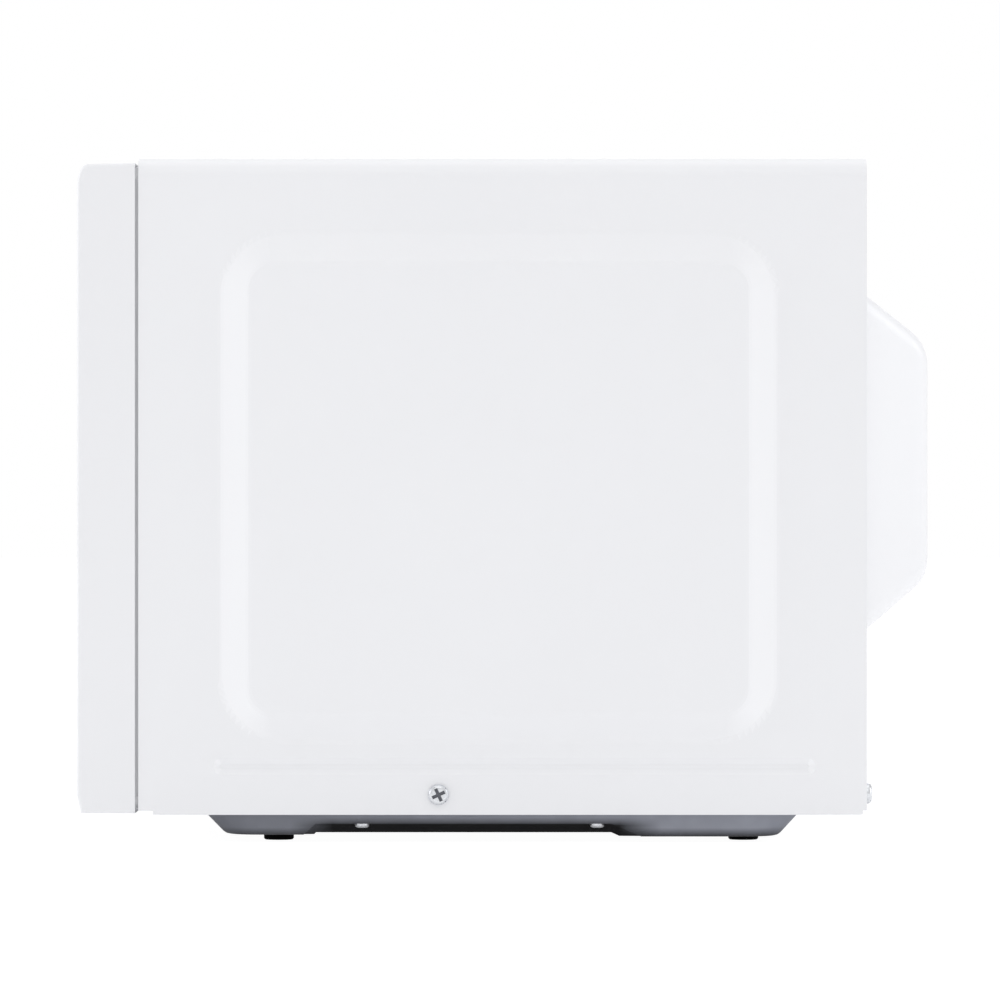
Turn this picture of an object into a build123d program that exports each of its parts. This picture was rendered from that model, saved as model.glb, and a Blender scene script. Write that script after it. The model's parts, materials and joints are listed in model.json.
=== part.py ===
from build123d import *
import math
import os

# Compact countertop microwave oven. Millimetres, +Z up, the front faces -Y and +X is to the
# right seen from the front. The origin lies on the counter under the middle of the whole oven.

os.makedirs("parts", exist_ok=True)

# Sheets and clearances
sheet = 0.8  # cabinet and cavity sheet
base_sheet = 1.0  # base pan sheet
fit = 0.3  # clearance between neighbouring pieces
run = 0.05  # radial clearance of a running fit

# Outer body
body_width = 446.0  # between the flat sides of the wrapper
body_top = 262.3  # top of the wrapper above the counter
wrap_bottom = 11.2  # lower edge of the wrapper
wrap_depth = 278.5  # wrapper from front edge to rear edge
front_thickness = 22.2  # door and control panel
front_gap = 1.2  # between the front and the wrapper
bump_depth = 25.6  # rear bump behind the wrapper's rear edge
bend_radius = 7.0  # fold between wrapper side and top
rear_flange = 12.0  # inward flange at the wrapper's rear edge
hem_round = 0.3  # softened front edge of the wrapper

# Embossed square on each side of the wrapper, by its margins
emboss_front = 31.5
emboss_rear = 34.5
emboss_top = 28.4
emboss_bottom = 27.9
emboss_band = 10.7  # width of the sloped border
emboss_band_top = 12.2  # the same along the top
emboss_rise = 3.0
emboss_radius = 24.0
emboss_inner_radius = 10.0
emboss_soft = 9.0  # rounding of the border's two edges

# Pressed bead below the embossed square
bead_front = 28.7
bead_rear = 19.6
bead_up = 18.5  # above the wrapper's lower edge
bead_width = 6.4
bead_sink = 1.1
bead_taper = 2.4  # the bead's floor is this much narrower on each side

# Case screws and the wrapper's corner notches
screw_head_radius = 4.0
screw_head_height = 2.3
screw_head_round = 1.7
screw_shank_radius = 1.9
screw_length = 7.0
screw_recess_length = 5.2
screw_recess_width = 1.3
screw_recess_depth = 1.6
screw_turn = 25.0  # how far the cross recess is turned
screw_play = 0.15  # radial, in every screw hole
base_screw_share = 0.72  # size of the screws under the base against the case screws
side_screw_back = 114.8  # behind the wrapper's front edge
side_screw_up = 7.7
rear_screw_in = 7.0  # in from the wrapper's side
rear_screw_up = 7.9
rear_screw_mid = 80.0  # second pair, from the middle
front_notch_length = 5.6
front_notch_height = 1.5
rear_notch_length = 1.5
rear_notch_height = 1.6

# Base pan
base_rise = 1.7  # base flange above the wrapper's lower edge
base_lip = 12.0  # height of the turned-up lips
pan_front = 22.8  # behind the wrapper's front edge
pan_rear = 23.2
pan_side = 5.0
pan_side_draft = 2.5
pan_end_draft = 10.0
pan_radius = 20.0
pan_floor_radius = 14.0
pan_round = 3.5  # under the foot pads
pan_lap = 20.0  # front and rear pads run this far past the middle
front_pad_drop = 3.1  # foot pads above the counter
rear_pad_drop = 2.4
recess_drop = 3.8  # floor of the stretch between the pads, above the counter
recess_wall = 7.5  # lower edge of that stretch's side walls, above the counter
recess_in = 9.0  # width of the ledge under that edge, from the pan's side
recess_turn = 1.0  # lean of the wall from the ledge down to the floor
recess_front = 62.2  # behind the wrapper's front edge
recess_front_run = 5.4  # run of its sloped front end
recess_rear = 86.0
recess_rear_run = 11.5
strip_screw_in = 5.2  # screws in the ledge, from the pan's side
strip_screw_front = 85.4  # behind the wrapper's front edge
strip_screw_rear = 102.9
base_vent_length = 16.0
base_vent_width = 3.0
base_vent_pitch = 8.0
base_vent_count = 7
base_vent_rows = 2
base_vent_row_pitch = 24.0

# Rubber feet
foot_front = 52.6  # behind the wrapper's front edge
foot_rear = 45.9
foot_inset = 37.0
foot_radius = 5.8
foot_edge = 0.5
foot_stem_radius = 3.0
foot_head_radius = 4.4
foot_head_height = 3.0

# Rear bump
bump_high_drop = 51.4  # below the wrapper's top
bump_low_rise = 69.6  # above the wrapper's lower edge
bump_high_slope = 18.9  # run of the upper slope
bump_low_slope = 20.7
bump_side_slope = 20.0
bump_half = 55.0
bump_high_round = 16.0
bump_low_round = 13.0
bump_side_round = 8.0
fan_inset = 68.2  # fan axis from the wrapper's inner face
bump_vent_length = 18.0
bump_vent_width = 3.0
bump_vent_pitch = 7.0
bump_vent_count = 8
bump_vent_spread = 34.0  # rows above and below the motor
exhaust_length = 22.0
exhaust_width = 3.0
exhaust_pitch = 8.0
exhaust_count = 10
exhaust_up = 190.0

# Front profile
front_drop = 2.0  # front top below the wrapper's top
front_rise = 0.5  # front bottom above the wrapper's lower edge
front_over = 0.5  # front stands this far out past each side
brow_depth = 4.2
brow_height = 8.4
brow_fall = 0.4  # the top falls this much towards the brow
chin_depth = 1.5
chin_height = 6.9
panel_width = 112.0
door_gap = 1.5  # between door and control panel
front_wall = 4.0
side_wall = 2.5
end_round = 1.2  # rounded outer ends of the front
lip_in = 2.0  # rear lip of the control panel, in from its outline
lip_thick = 1.0
lip_root = 4.0
lip_round = 5.0

# Cooking cavity
bay_width = 125.2  # electronics bay right of the cavity
side_air = 14.2
rear_air = 16.0
roof_air = 28.0
floor_rise = 23.1  # cavity floor above the base flange
wall_skirt = 8.0  # cavity walls below the floor

# Bushing for the mains lead
gland_radius = 6.0
gland_wall = 1.5
gland_flange = 3.0  # how far the gland's flange laps the panel
gland_lip = 0.6
gland_length = 8.0
gland_in = 32.0  # in from the wrapper's inner face
gland_up = 38.0  # above the base flange

# Door latch, release crank and hinges
latch_thick = 4.0
hook_height = 7.0
hook_nose = 2.0
hook_nose_length = 7.0
hook_nose_gap = 0.6  # behind the front plate
hook_reach = 24.0  # behind the front plate
hook_low_up = 34.0  # lower hook above the cavity floor
hook_high_down = 34.0  # upper hook below the cavity ceiling
hook_slot_side = 1.2
button_travel = 5.0
latch_ratio = 0.52  # latch lift for each millimetre of button travel
crank_arm = 22.0
crank_back = 10.2  # crank shaft behind the front plate
crank_down = 12.0  # crank shaft below the lower hook
crank_shaft_radius = 2.5
rod_in = 19.5  # push rod from the control panel's left side
rod_radius = 3.0
rod_play = 0.6
hinge_in = 8.0  # hinge pin from the door's left side
hinge_fore = 11.0  # hinge pin in front of the door's back
hinge_pocket = 9.0
hinge_eye = 5.5
hinge_room = 1.5
hinge_plate = 2.5
hinge_neck = 4.5
hinge_foot = 28.0
pin_radius = 3.0
pin_length = 10.0
harness_margin = 18.0  # wiring window behind the control panel

# Cavity openings
waveguide_mouth_front = 126.0  # feed opening behind the cavity's front
waveguide_mouth_length = 44.0
waveguide_mouth_height = 54.0
waveguide_mouth_down = 28.0  # below the ceiling
vent_hole_radius = 2.0
vent_hole_pitch = 6.0
lamp_hole_rows = 5
lamp_hole_columns = 4
exhaust_hole_rows = 4
exhaust_hole_columns = 12
coupler_stem_radius = 4.0
coupler_play = 1.0

# Door
door_back_round = 5.0
stile = 20.5  # solid hinge stile
window_left = 48.0
window_right = 40.0
window_bottom = 48.0
window_top = 42.0
window_rim = 2.5
glass_lap = 9.0
glass_thick = 2.2
glass_sink = 0.1
screen_fore = 7.3  # screen in front of the door's back
film_thick = 0.5
cover_thick = 2.0
cover_sink = 0.4

# Latch bar
latch_bar = 8.0  # bar depth in the door
latch_end = 14.0  # bar past each hook

# Control panel
panel_margin = 10.0  # from the panel's side to the keypad and the button
panel_post_in = 5.0
panel_post_radius = 3.5
keypad_bottom = 52.0  # above the front's lower edge
keypad_top = 62.0  # below the front's upper edge
keypad_thick = 0.5
keypad_sink = 0.1
display_bottom = 54.0  # below the front's upper edge
display_top = 22.0
display_lap = 3.0
lens_thick = 1.6
button_bottom = 12.0
button_top = 40.0
button_thick = 3.0
button_skirt = 9.0
button_sink = 0.2
button_round = 1.0
board_fore = 12.0  # board in front of the panel's back
board_thick = 1.6
board_margin = 13.0
board_post_radius = 2.5
relay_size = (20.0, 9.0, 16.0)
relay_pitch = 28.0
relay_count = 3

# Interlock
bracket_gap = 3.0  # bracket beside the hooks
bracket_thick = 2.5
bracket_end = 22.0  # bracket past each hook
bracket_foot = 10.0
switch_length = 28.0
switch_height = 16.0
switch_thick = 10.3
switch_gap = 0.5  # plunger before the hook's tip
plunger_length = 1.5
plunger_width = 3.0
crank_tip = 12.0  # lifting arm behind the shaft
crank_lift = 3.2  # lifting arm's depth at its tip
paddle_width = 6.0
paddle_end = 4.0

# Waveguide and magnetron
guide_depth = 22.0
guide_front = 8.0  # guide past its mouth
guide_length = 96.0
guide_edge = 8.0
guide_sheet = 1.0
cover_lap = 8.0
mica_thick = 0.5
tube_back = 36.0  # tube axis before the guide's rear end
tube_radius = 19.0
antenna_radius = 8.0
antenna_length = 16.0
antenna_hole = 9.0
magnet_radius = 27.0
magnet_thick = 11.0
yoke_sheet = 1.6
yoke_length = 62.0  # along the tube
yoke_width = 72.0
yoke_height = 68.0
fin_thick = 0.8
fin_pitch = 5.0
fin_count = 7
fin_margin = 1.0
filter_depth = 30.0
filter_width = 56.0
filter_height = 54.0

# High-voltage transformer
core_width = 80.0
core_height = 66.0
core_depth = 50.0
core_leg = 13.0
core_middle_leg = 26.0
core_yoke = 13.0
coil_play = 0.2
primary_height = 22.0
secondary_height = 16.0
transformer_right = 34.5  # core from the wrapper's inner face
transformer_front = 60.0  # core behind the cavity's front

# High-voltage capacitor, clamp and diode
can_width = 52.0
can_height = 33.0
can_length = 84.0
can_gap = 26.0  # behind the transformer core
can_rim = 1.5
tab_width = 6.3
tab_height = 10.0
tab_thick = 0.8
tab_pitch = 18.0
clamp_sheet = 0.8
clamp_width = 14.0
clamp_ear = 12.0
diode_radius = 4.5
diode_length = 26.0
diode_gap = 9.0  # beside the clamp's ear
diode_seat = 9.2  # length of the diode that lies on the pan's raised floor

# Mains filter board
mains_width = 66.0
mains_height = 42.0
mains_stand = 8.0
mains_post_radius = 2.5
mains_post_in = 5.0
mains_up = 16.0  # above the base flange
mains_gap = 14.0  # from the gland
choke_radius = 9.0
choke_height = 14.0
fuse_length = 22.0
fuse_width = 6.0

# Cooling fan
motor_size = 44.0
motor_depth = 15.0
motor_boss_radius = 10.0
motor_boss_length = 6.0
shaft_radius = 2.5
shroud_half = 50.0
shroud_lap = 7.0  # shroud past the bump, above and below
shroud_fore = 33.4  # shroud plate before the rear panel
shroud_thick = 3.0
shroud_collar = 2.0
shroud_collar_length = 17.0
shroud_post_radius = 4.0
blade_tip = 44.0
blade_play = 1.5
hub_radius = 11.0
hub_length = 14.0
hub_nose = 3.0
blade_count = 5
blade_root_chord = 15.0
blade_tip_chord = 24.0
blade_thick = 1.8
blade_root_pitch = 50.0
blade_tip_pitch = 24.0

# Oven lamp
holder_depth = 30.0
holder_length = 34.0
holder_height = 44.0
holder_wall = 1.2
holder_front = 58.0  # behind the cavity's front
holder_down = 8.0  # below the ceiling
bulb_radius = 10.0
bulb_length = 24.0
socket_radius = 7.0
socket_length = 14.0

# Thermal cut-outs
cutout_radius = 8.0
cutout_height = 7.0
cutout_down = 60.0  # below the ceiling, on the cavity wall

# Turntable
motor_radius = 24.0
motor_height = 14.0
motor_bore = 8.0
coupler_radius = 13.0
coupler_lobe = 5.0
wheel_radius = 7.0
wheel_width = 6.0
wheel_axle_radius = 1.6
wheel_count = 3
track_inset = 26.6  # wheel track inside the tray's edge
ring_width = 6.0
ring_height = 5.0
tray_wall_gap = 8.0
tray_thick = 4.0
tray_rim = 8.0
tray_rim_width = 7.0
tray_hub_radius = 24.0
tray_hub_wall = 3.0
tray_hub_drop = 4.0

# Places worked out from the sizes above
overall_depth = front_thickness + front_gap + wrap_depth + bump_depth
front_y = -overall_depth / 2
front_back_y = front_y + front_thickness
wrap_front_y = front_back_y + front_gap
wrap_back_y = wrap_front_y + wrap_depth
bump_y = wrap_back_y + bump_depth
panel_out_y = wrap_back_y - sheet
panel_in_y = panel_out_y - sheet
side_x = body_width / 2
skin_x = side_x - sheet
front_x = side_x + front_over
front_top = body_top - front_drop
front_bottom = wrap_bottom + front_rise
base_z = wrap_bottom + base_rise
base_top = base_z + base_sheet
pan_top = recess_drop + base_sheet
cavity_left = -skin_x + side_air
cavity_right = skin_x - bay_width
cavity_front_y = wrap_front_y + sheet
cavity_back_y = wrap_back_y - rear_air
bay_x = cavity_right + sheet
floor_z = base_z + floor_rise
ceiling_z = body_top - roof_air
turn_x = (cavity_left + cavity_right) / 2
turn_y = (cavity_front_y + cavity_back_y) / 2
door_left = -front_x
panel_left = front_x - panel_width
door_right = panel_left - door_gap
fan_x = skin_x - fan_inset
bump_high = body_top - bump_high_drop
bump_low = wrap_bottom + bump_low_rise
fan_z = (bump_high + bump_low) / 2
side_screw_y = wrap_front_y + side_screw_back
side_screw_z = wrap_bottom + side_screw_up
rear_screw_x = side_x - rear_screw_in
rear_screw_z = wrap_bottom + rear_screw_up
foot_x = side_x - foot_inset
foot_front_y = wrap_front_y + foot_front
foot_rear_y = wrap_back_y - foot_rear


def facing(y):
    """Plane at depth y with X to the right and Z up; its normal points to the front."""
    return Plane.XZ.offset(-y)


def rect(u_low, u_high, v_low, v_high):
    """Rectangle between two corners, as a loose sketch."""
    middle = Pos((u_low + u_high) / 2, (v_low + v_high) / 2)
    return middle * Rectangle(u_high - u_low, v_high - v_low, mode=Mode.PRIVATE)


# Outer wrapper: one folded sheet, made as its right half and mirrored

def wrapper_outline(inset):
    """Right half of the wrapper's section, moved in from the outside by inset."""
    with BuildSketch() as outline:
        add(rect(0, side_x - inset, 0, body_top - inset))
        corner = outline.vertices().sort_by_distance((side_x, body_top))[0]
        fillet(corner, bend_radius - inset)
    return outline.sketch


emboss_y = (wrap_front_y + emboss_front + wrap_back_y - emboss_rear) / 2
emboss_z = (wrap_bottom + emboss_bottom + body_top - emboss_top) / 2
emboss_length = wrap_depth - emboss_front - emboss_rear
emboss_height = body_top - wrap_bottom - emboss_top - emboss_bottom
emboss_lift = (emboss_band - emboss_band_top) / 2
bead_y = (wrap_front_y + bead_front + wrap_back_y - bead_rear) / 2
bead_z = wrap_bottom + bead_up
bead_length = wrap_depth - bead_front - bead_rear

with BuildPart() as emboss_form:
    with BuildSketch(Plane.YZ):
        RectangleRounded(emboss_length, emboss_height, emboss_radius)
    with BuildSketch(Plane.YZ.offset(emboss_rise)):
        with Locations((0, emboss_lift)):
            RectangleRounded(
                emboss_length - 2 * emboss_band,
                emboss_height - emboss_band - emboss_band_top,
                emboss_inner_radius,
            )
    loft()
    fillet(emboss_form.faces().sort_by(Axis.X)[-1].edges(), emboss_soft)

with BuildPart() as bead_form:
    with BuildSketch(Plane.YZ):
        SlotOverall(bead_length, bead_width)
    with BuildSketch(Plane.YZ.offset(-bead_sink)):
        SlotOverall(bead_length - 2 * bead_taper, bead_width - 2 * bead_taper)
    loft()


def wrapper_block(inset):
    """Right half of the cabinet as a solid block with its pressings, moved in by inset."""
    with BuildPart() as block:
        with BuildSketch(facing(wrap_back_y)):
            add(wrapper_outline(inset))
        extrude(amount=wrap_depth)
        with Locations((side_x - inset, emboss_y, emboss_z)):
            add(emboss_form.part)
        flat_side = block.faces().filter_by(Axis.X).sort_by(Axis.X)[-2]
        fillet(flat_side.inner_wires()[0].edges(), emboss_soft)
        with Locations((side_x - inset, bead_y, bead_z)):
            add(bead_form.part, mode=Mode.SUBTRACT)
    return block.part


wrapper_outside = wrapper_block(0)
wrapper_inside = wrapper_block(sheet)
screw_hole = screw_shank_radius + screw_play

with BuildPart() as outer_wrapper:
    add(wrapper_outside)
    add(wrapper_inside, mode=Mode.SUBTRACT)
    front_rim = outer_wrapper.faces().sort_by(Axis.Y)[0].edges()
    fillet(front_rim.filter_by(lambda rim: rim.length > sheet), hem_round)
    with BuildSketch(facing(wrap_back_y)):
        add(wrapper_outline(0))
        add(rect(0, side_x - rear_flange, 0, body_top - rear_flange), mode=Mode.SUBTRACT)
        with Locations((rear_screw_x, rear_screw_z)):
            Circle(screw_hole, mode=Mode.SUBTRACT)
    extrude(amount=sheet)
    with BuildSketch(Plane.YZ):
        add(rect(wrap_front_y, wrap_back_y, 0, wrap_bottom))
        add(rect(wrap_front_y, wrap_front_y + front_notch_length, 0, wrap_bottom + front_notch_height))
        add(rect(wrap_back_y - rear_notch_length, wrap_back_y, 0, wrap_bottom + rear_notch_height))
        with Locations((side_screw_y, side_screw_z)):
            Circle(screw_hole)
    extrude(amount=side_x, mode=Mode.SUBTRACT)
    mirror(about=Plane.YZ)
outer_wrapper.part.label = "outer_wrapper"
export_step(outer_wrapper.part, "parts/outer_wrapper.step")

# Base pan: two foot pads, a raised stretch with screw ledges between them, and turned-up lips

pan_low_y = wrap_front_y + pan_front
pan_high_y = wrap_back_y - pan_rear
pan_middle_y = (pan_low_y + pan_high_y) / 2
pan_half = side_x - pan_side
recess_edge_x = pan_half - recess_in
recess_floor_x = recess_edge_x - recess_turn
recess_fall = recess_wall - rear_pad_drop
recess_low_y = wrap_front_y + recess_front
recess_high_y = wrap_back_y - recess_rear
recess_stations = (
    (recess_low_y, recess_fall),
    (recess_low_y + recess_front_run, 0),
    (recess_high_y - recess_rear_run, 0),
    (recess_high_y, recess_fall),
)


def wall_inset(height, draft, inset):
    """Sideways step that keeps the sheet's thickness on a drafted wall raised by inset."""
    return inset * math.tan(math.atan2(height, draft) / 2)


def pad_form(low_y, high_y, floor, inset):
    """One foot pad as a drafted block, moved in from its outside by inset."""
    side_step = wall_inset(base_z - floor, pan_side_draft, inset)
    end_step = wall_inset(base_z - floor, pan_end_draft, inset)
    width = 2 * (pan_half - side_step)
    length = high_y - low_y - 2 * end_step
    middle = (0, (low_y + high_y) / 2)
    with BuildPart() as pad:
        with BuildSketch(Plane.XY.offset(base_z + inset)):
            with Locations(middle):
                RectangleRounded(width, length, pan_radius)
        with BuildSketch(Plane.XY.offset(floor + inset)):
            with Locations(middle):
                RectangleRounded(width - 2 * pan_side_draft, length - 2 * pan_end_draft, pan_floor_radius)
        loft()
        fillet(pad.faces().sort_by(Axis.Z)[0].edges(), pan_round - inset)
    return pad.part


def recess_form(lift):
    """The space under the raised stretch between the foot pads, raised by lift."""
    with BuildPart() as space:
        for station_y, fall in recess_stations:
            with BuildSketch(facing(station_y)):
                with BuildLine():
                    Polyline(
                        (-side_x, -recess_wall - fall),
                        (side_x, -recess_wall - fall),
                        (side_x, recess_wall - fall + lift),
                        (recess_edge_x - lift, recess_wall - fall + lift),
                        (recess_floor_x - lift, recess_drop - fall + lift),
                        (lift - recess_floor_x, recess_drop - fall + lift),
                        (lift - recess_edge_x, recess_wall - fall + lift),
                        (-side_x, recess_wall - fall + lift),
                        close=True,
                    )
                make_face()
        loft(ruled=True)
    return space.part


def pan_form(inset):
    """The whole pan as a block, moved in from its outside by inset."""
    with BuildPart() as pan:
        add(pad_form(pan_low_y, pan_middle_y + pan_lap, front_pad_drop, inset))
        add(pad_form(pan_middle_y - pan_lap, pan_high_y, rear_pad_drop, inset))
        add(recess_form(inset), mode=Mode.SUBTRACT)
    return pan.part


pan_outside = pan_form(0)
pan_inside = pan_form(base_sheet)
base_x = skin_x - fit
strip_screw_x = pan_half - strip_screw_in
strip_screw_planes = [
    Plane((x, y, recess_wall), z_dir=(0, 0, -1))
    for x in (-strip_screw_x, strip_screw_x)
    for y in (wrap_front_y + strip_screw_front, wrap_back_y - strip_screw_rear)
]
foot_places = [(x, y) for x in (-foot_x, foot_x) for y in (foot_front_y, foot_rear_y)]

with BuildPart() as base_plate:
    with BuildSketch(Plane.XY.offset(base_z)):
        add(rect(-base_x, base_x, wrap_front_y, panel_in_y))
    extrude(amount=base_sheet)
    with BuildSketch(Plane.XY.offset(base_z)):
        add(rect(-base_x, base_sheet - base_x, foot_front_y, foot_rear_y))
        add(rect(base_x - base_sheet, base_x, foot_front_y, foot_rear_y))
        add(rect(-foot_x, foot_x, panel_in_y - base_sheet, panel_in_y))
    extrude(amount=base_lip)
    add(pan_outside)
    add(pan_inside, mode=Mode.SUBTRACT)
    with BuildSketch(Plane.XY):
        with Locations(*foot_places):
            Circle(foot_stem_radius + run)
        with Locations((fan_x, 0)):
            with GridLocations(base_vent_pitch, base_vent_row_pitch, base_vent_count, base_vent_rows):
                SlotOverall(base_vent_length, base_vent_width, rotation=90)
    extrude(amount=base_z, mode=Mode.SUBTRACT)
    for screw_plane in strip_screw_planes:
        with BuildSketch(screw_plane):
            Circle(base_screw_share * screw_shank_radius + screw_play)
        extrude(amount=-2 * base_sheet, mode=Mode.SUBTRACT)
    with BuildSketch(Plane.YZ.offset(-side_x)):
        with Locations((side_screw_y, side_screw_z)):
            Circle(screw_hole)
    extrude(amount=body_width, mode=Mode.SUBTRACT)
    with BuildSketch(facing(panel_in_y)):
        with Locations((-rear_screw_mid, rear_screw_z), (rear_screw_mid, rear_screw_z)):
            Circle(screw_hole)
    extrude(amount=base_sheet, mode=Mode.SUBTRACT)
base_plate.part.label = "base_plate"
export_step(base_plate.part, "parts/base_plate.step")

# Rubber feet, pushed up through the pan floor


def rubber_foot(drop):
    """Foot of a given height with its stem and barbed head, standing on the counter at the origin."""
    head = drop + base_sheet
    with BuildPart() as foot:
        with BuildSketch(Plane.XZ):
            with BuildLine():
                Polyline(
                    (0, 0),
                    (foot_radius - foot_edge, 0),
                    (foot_radius, foot_edge),
                    (foot_radius, drop),
                    (foot_stem_radius, drop),
                    (foot_stem_radius, head),
                    (foot_head_radius, head),
                    (foot_stem_radius, head + foot_head_height),
                    (0, head + foot_head_height),
                    close=True,
                )
            make_face()
        revolve(axis=Axis.Z)
    return foot.part


feet = {
    "foot_front_left": (-foot_x, foot_front_y, front_pad_drop),
    "foot_front_right": (foot_x, foot_front_y, front_pad_drop),
    "foot_rear_left": (-foot_x, foot_rear_y, rear_pad_drop),
    "foot_rear_right": (foot_x, foot_rear_y, rear_pad_drop),
}
for foot_name, (place_x, place_y, pad_drop) in feet.items():
    with BuildPart() as foot_piece:
        with Locations((place_x, place_y)):
            add(rubber_foot(pad_drop))
    foot_piece.part.label = foot_name
    export_step(foot_piece.part, f"parts/{foot_name}.step")

# Rear panel with its pressed bump


def inner_outline(low_z):
    """Outline of a panel inside the wrapper, from a height up to its folded corners."""
    high_z = body_top - sheet - fit
    with BuildSketch() as outline:
        add(rect(-base_x, base_x, low_z, high_z))
        fillet(outline.vertices().group_by(Axis.Y)[-1], bend_radius)
    return outline.sketch


def bump_form(inset):
    """The bump as a solid block, moved in from its outside by inset."""
    root_y = panel_in_y - inset
    root_share = (wrap_back_y - root_y) / bump_depth
    high_corner = bump_high - bump_high_slope
    low_corner = bump_low + bump_low_slope
    flat_half = bump_half - bump_side_slope
    root_half = bump_half + root_share * bump_side_slope
    with BuildPart() as block:
        with BuildSketch(Plane.YZ) as side_view:
            with BuildLine():
                Polyline(
                    (root_y, bump_low - root_share * bump_low_slope),
                    (bump_y, low_corner),
                    (bump_y, high_corner),
                    (root_y, bump_high + root_share * bump_high_slope),
                    close=True,
                )
            make_face()
            fillet(side_view.vertices().sort_by_distance((bump_y, low_corner))[0], bump_low_round)
            fillet(side_view.vertices().sort_by_distance((bump_y, high_corner))[0], bump_high_round)
            offset(amount=-inset, mode=Mode.REPLACE)
        extrude(amount=body_width, both=True)
        with BuildSketch(Plane.XY):
            with BuildLine():
                Polyline(
                    (fan_x - root_half, root_y),
                    (fan_x + root_half, root_y),
                    (fan_x + flat_half, bump_y),
                    (fan_x - flat_half, bump_y),
                    close=True,
                )
            make_face()
            offset(amount=-inset, mode=Mode.REPLACE)
        extrude(amount=body_top, mode=Mode.INTERSECT)
        side_faces = block.faces().sort_by(Axis.X)
        rims = side_faces[0].edges() + side_faces[-1].edges()
        fillet(rims.filter_by(lambda rim: rim.center().Y > wrap_back_y), bump_side_round - inset)
    return block.part


gland_x = skin_x - gland_in
gland_z = base_z + gland_up
exhaust_x = turn_x
bump_outside = bump_form(0)
bump_inside = bump_form(sheet)

with BuildPart() as rear_panel:
    with BuildSketch(facing(panel_out_y)):
        add(inner_outline(base_z))
    extrude(amount=sheet)
    add(bump_outside)
    add(bump_inside, mode=Mode.SUBTRACT)
    with BuildSketch(facing(panel_out_y)):
        with Locations((gland_x, gland_z)):
            Circle(gland_radius + run)
        with Locations((exhaust_x, exhaust_up)):
            with GridLocations(exhaust_pitch, exhaust_pitch, exhaust_count, 1):
                SlotOverall(exhaust_length, exhaust_width, rotation=90)
        for screw_x in (-rear_screw_x, -rear_screw_mid, rear_screw_mid, rear_screw_x):
            with Locations((screw_x, rear_screw_z)):
                Circle(screw_hole)
    extrude(amount=sheet, mode=Mode.SUBTRACT)
    with BuildSketch(facing(bump_y)):
        for vent_z in (fan_z - bump_vent_spread, fan_z + bump_vent_spread):
            with Locations((fan_x, vent_z)):
                with GridLocations(bump_vent_pitch, bump_vent_pitch, bump_vent_count, 1):
                    SlotOverall(bump_vent_length, bump_vent_width, rotation=90)
    extrude(amount=sheet, mode=Mode.SUBTRACT)
rear_panel.part.label = "rear_panel"
export_step(rear_panel.part, "parts/rear_panel.step")

with BuildPart() as cord_gland:
    with BuildSketch(facing(panel_out_y)):
        with Locations((gland_x, gland_z)):
            Circle(gland_radius + gland_flange)
            Circle(gland_radius - gland_wall, mode=Mode.SUBTRACT)
    extrude(amount=-gland_lip)
    with BuildSketch(facing(panel_out_y)):
        with Locations((gland_x, gland_z)):
            Circle(gland_radius)
            Circle(gland_radius - gland_wall, mode=Mode.SUBTRACT)
    extrude(amount=gland_length)
cord_gland.part.label = "cord_gland"
export_step(cord_gland.part, "parts/cord_gland.step")

# Case screws: one on each side and a row along the back


def pan_screw():
    """Pan-head screw with a cross recess; its head stands on the XY plane."""
    with BuildPart() as screw:
        with BuildSketch(Plane.XZ):
            with BuildLine():
                Polyline(
                    (screw_head_radius - screw_head_round, screw_head_height),
                    (0, screw_head_height),
                    (0, -screw_length),
                    (screw_shank_radius, -screw_length),
                    (screw_shank_radius, 0),
                    (screw_head_radius, 0),
                    (screw_head_radius, screw_head_height - screw_head_round),
                )
                head_middle = (screw_head_radius - screw_head_round, screw_head_height - screw_head_round)
                CenterArc(head_middle, screw_head_round, start_angle=0, arc_size=90)
            make_face()
        revolve(axis=Axis.Z)
        with BuildSketch(Plane.XY.offset(screw_head_height)):
            Rectangle(screw_recess_length, screw_recess_width, rotation=screw_turn)
            Rectangle(screw_recess_width, screw_recess_length, rotation=screw_turn)
        extrude(amount=-screw_recess_depth, mode=Mode.SUBTRACT)
    return screw.part


screw_form = pan_screw()
with BuildPart() as case_screws:
    with Locations(
        Plane((side_x, side_screw_y, side_screw_z), x_dir=(0, 1, 0), z_dir=(1, 0, 0)),
        Plane((-side_x, side_screw_y, side_screw_z), x_dir=(0, 1, 0), z_dir=(-1, 0, 0)),
        Plane((-rear_screw_x, wrap_back_y, rear_screw_z), x_dir=(1, 0, 0), z_dir=(0, 1, 0)),
        Plane((-rear_screw_mid, panel_out_y, rear_screw_z), x_dir=(1, 0, 0), z_dir=(0, 1, 0)),
        Plane((rear_screw_mid, panel_out_y, rear_screw_z), x_dir=(1, 0, 0), z_dir=(0, 1, 0)),
        Plane((rear_screw_x, wrap_back_y, rear_screw_z), x_dir=(1, 0, 0), z_dir=(0, 1, 0)),
    ):
        add(screw_form)
case_screws.part.label = "case_screws"
export_step(case_screws.part, "parts/case_screws.step")

# Smaller screws of the same form in the sloped strips under the base

base_screw_form = scale(screw_form, by=base_screw_share)
with BuildPart() as base_screws:
    with Locations(*strip_screw_planes):
        add(base_screw_form)
base_screws.part.label = "base_screws"
export_step(base_screws.part, "parts/base_screws.step")

# Door latch, door-release crank and hinge places, shared by the door and the front plate

latch_x = (cavity_right + door_right) / 2
hook_low_z = floor_z + hook_low_up
latch_travel = latch_ratio * button_travel
hook_high_z = ceiling_z - hook_high_down
crank_y = cavity_front_y + crank_back
crank_z = hook_low_z - crank_down
rod_x = panel_left + rod_in
rod_z = crank_z - crank_arm
pivot_x = door_left + hinge_in
pivot_y = front_back_y - hinge_fore

# Front plate round the cavity mouth

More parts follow.
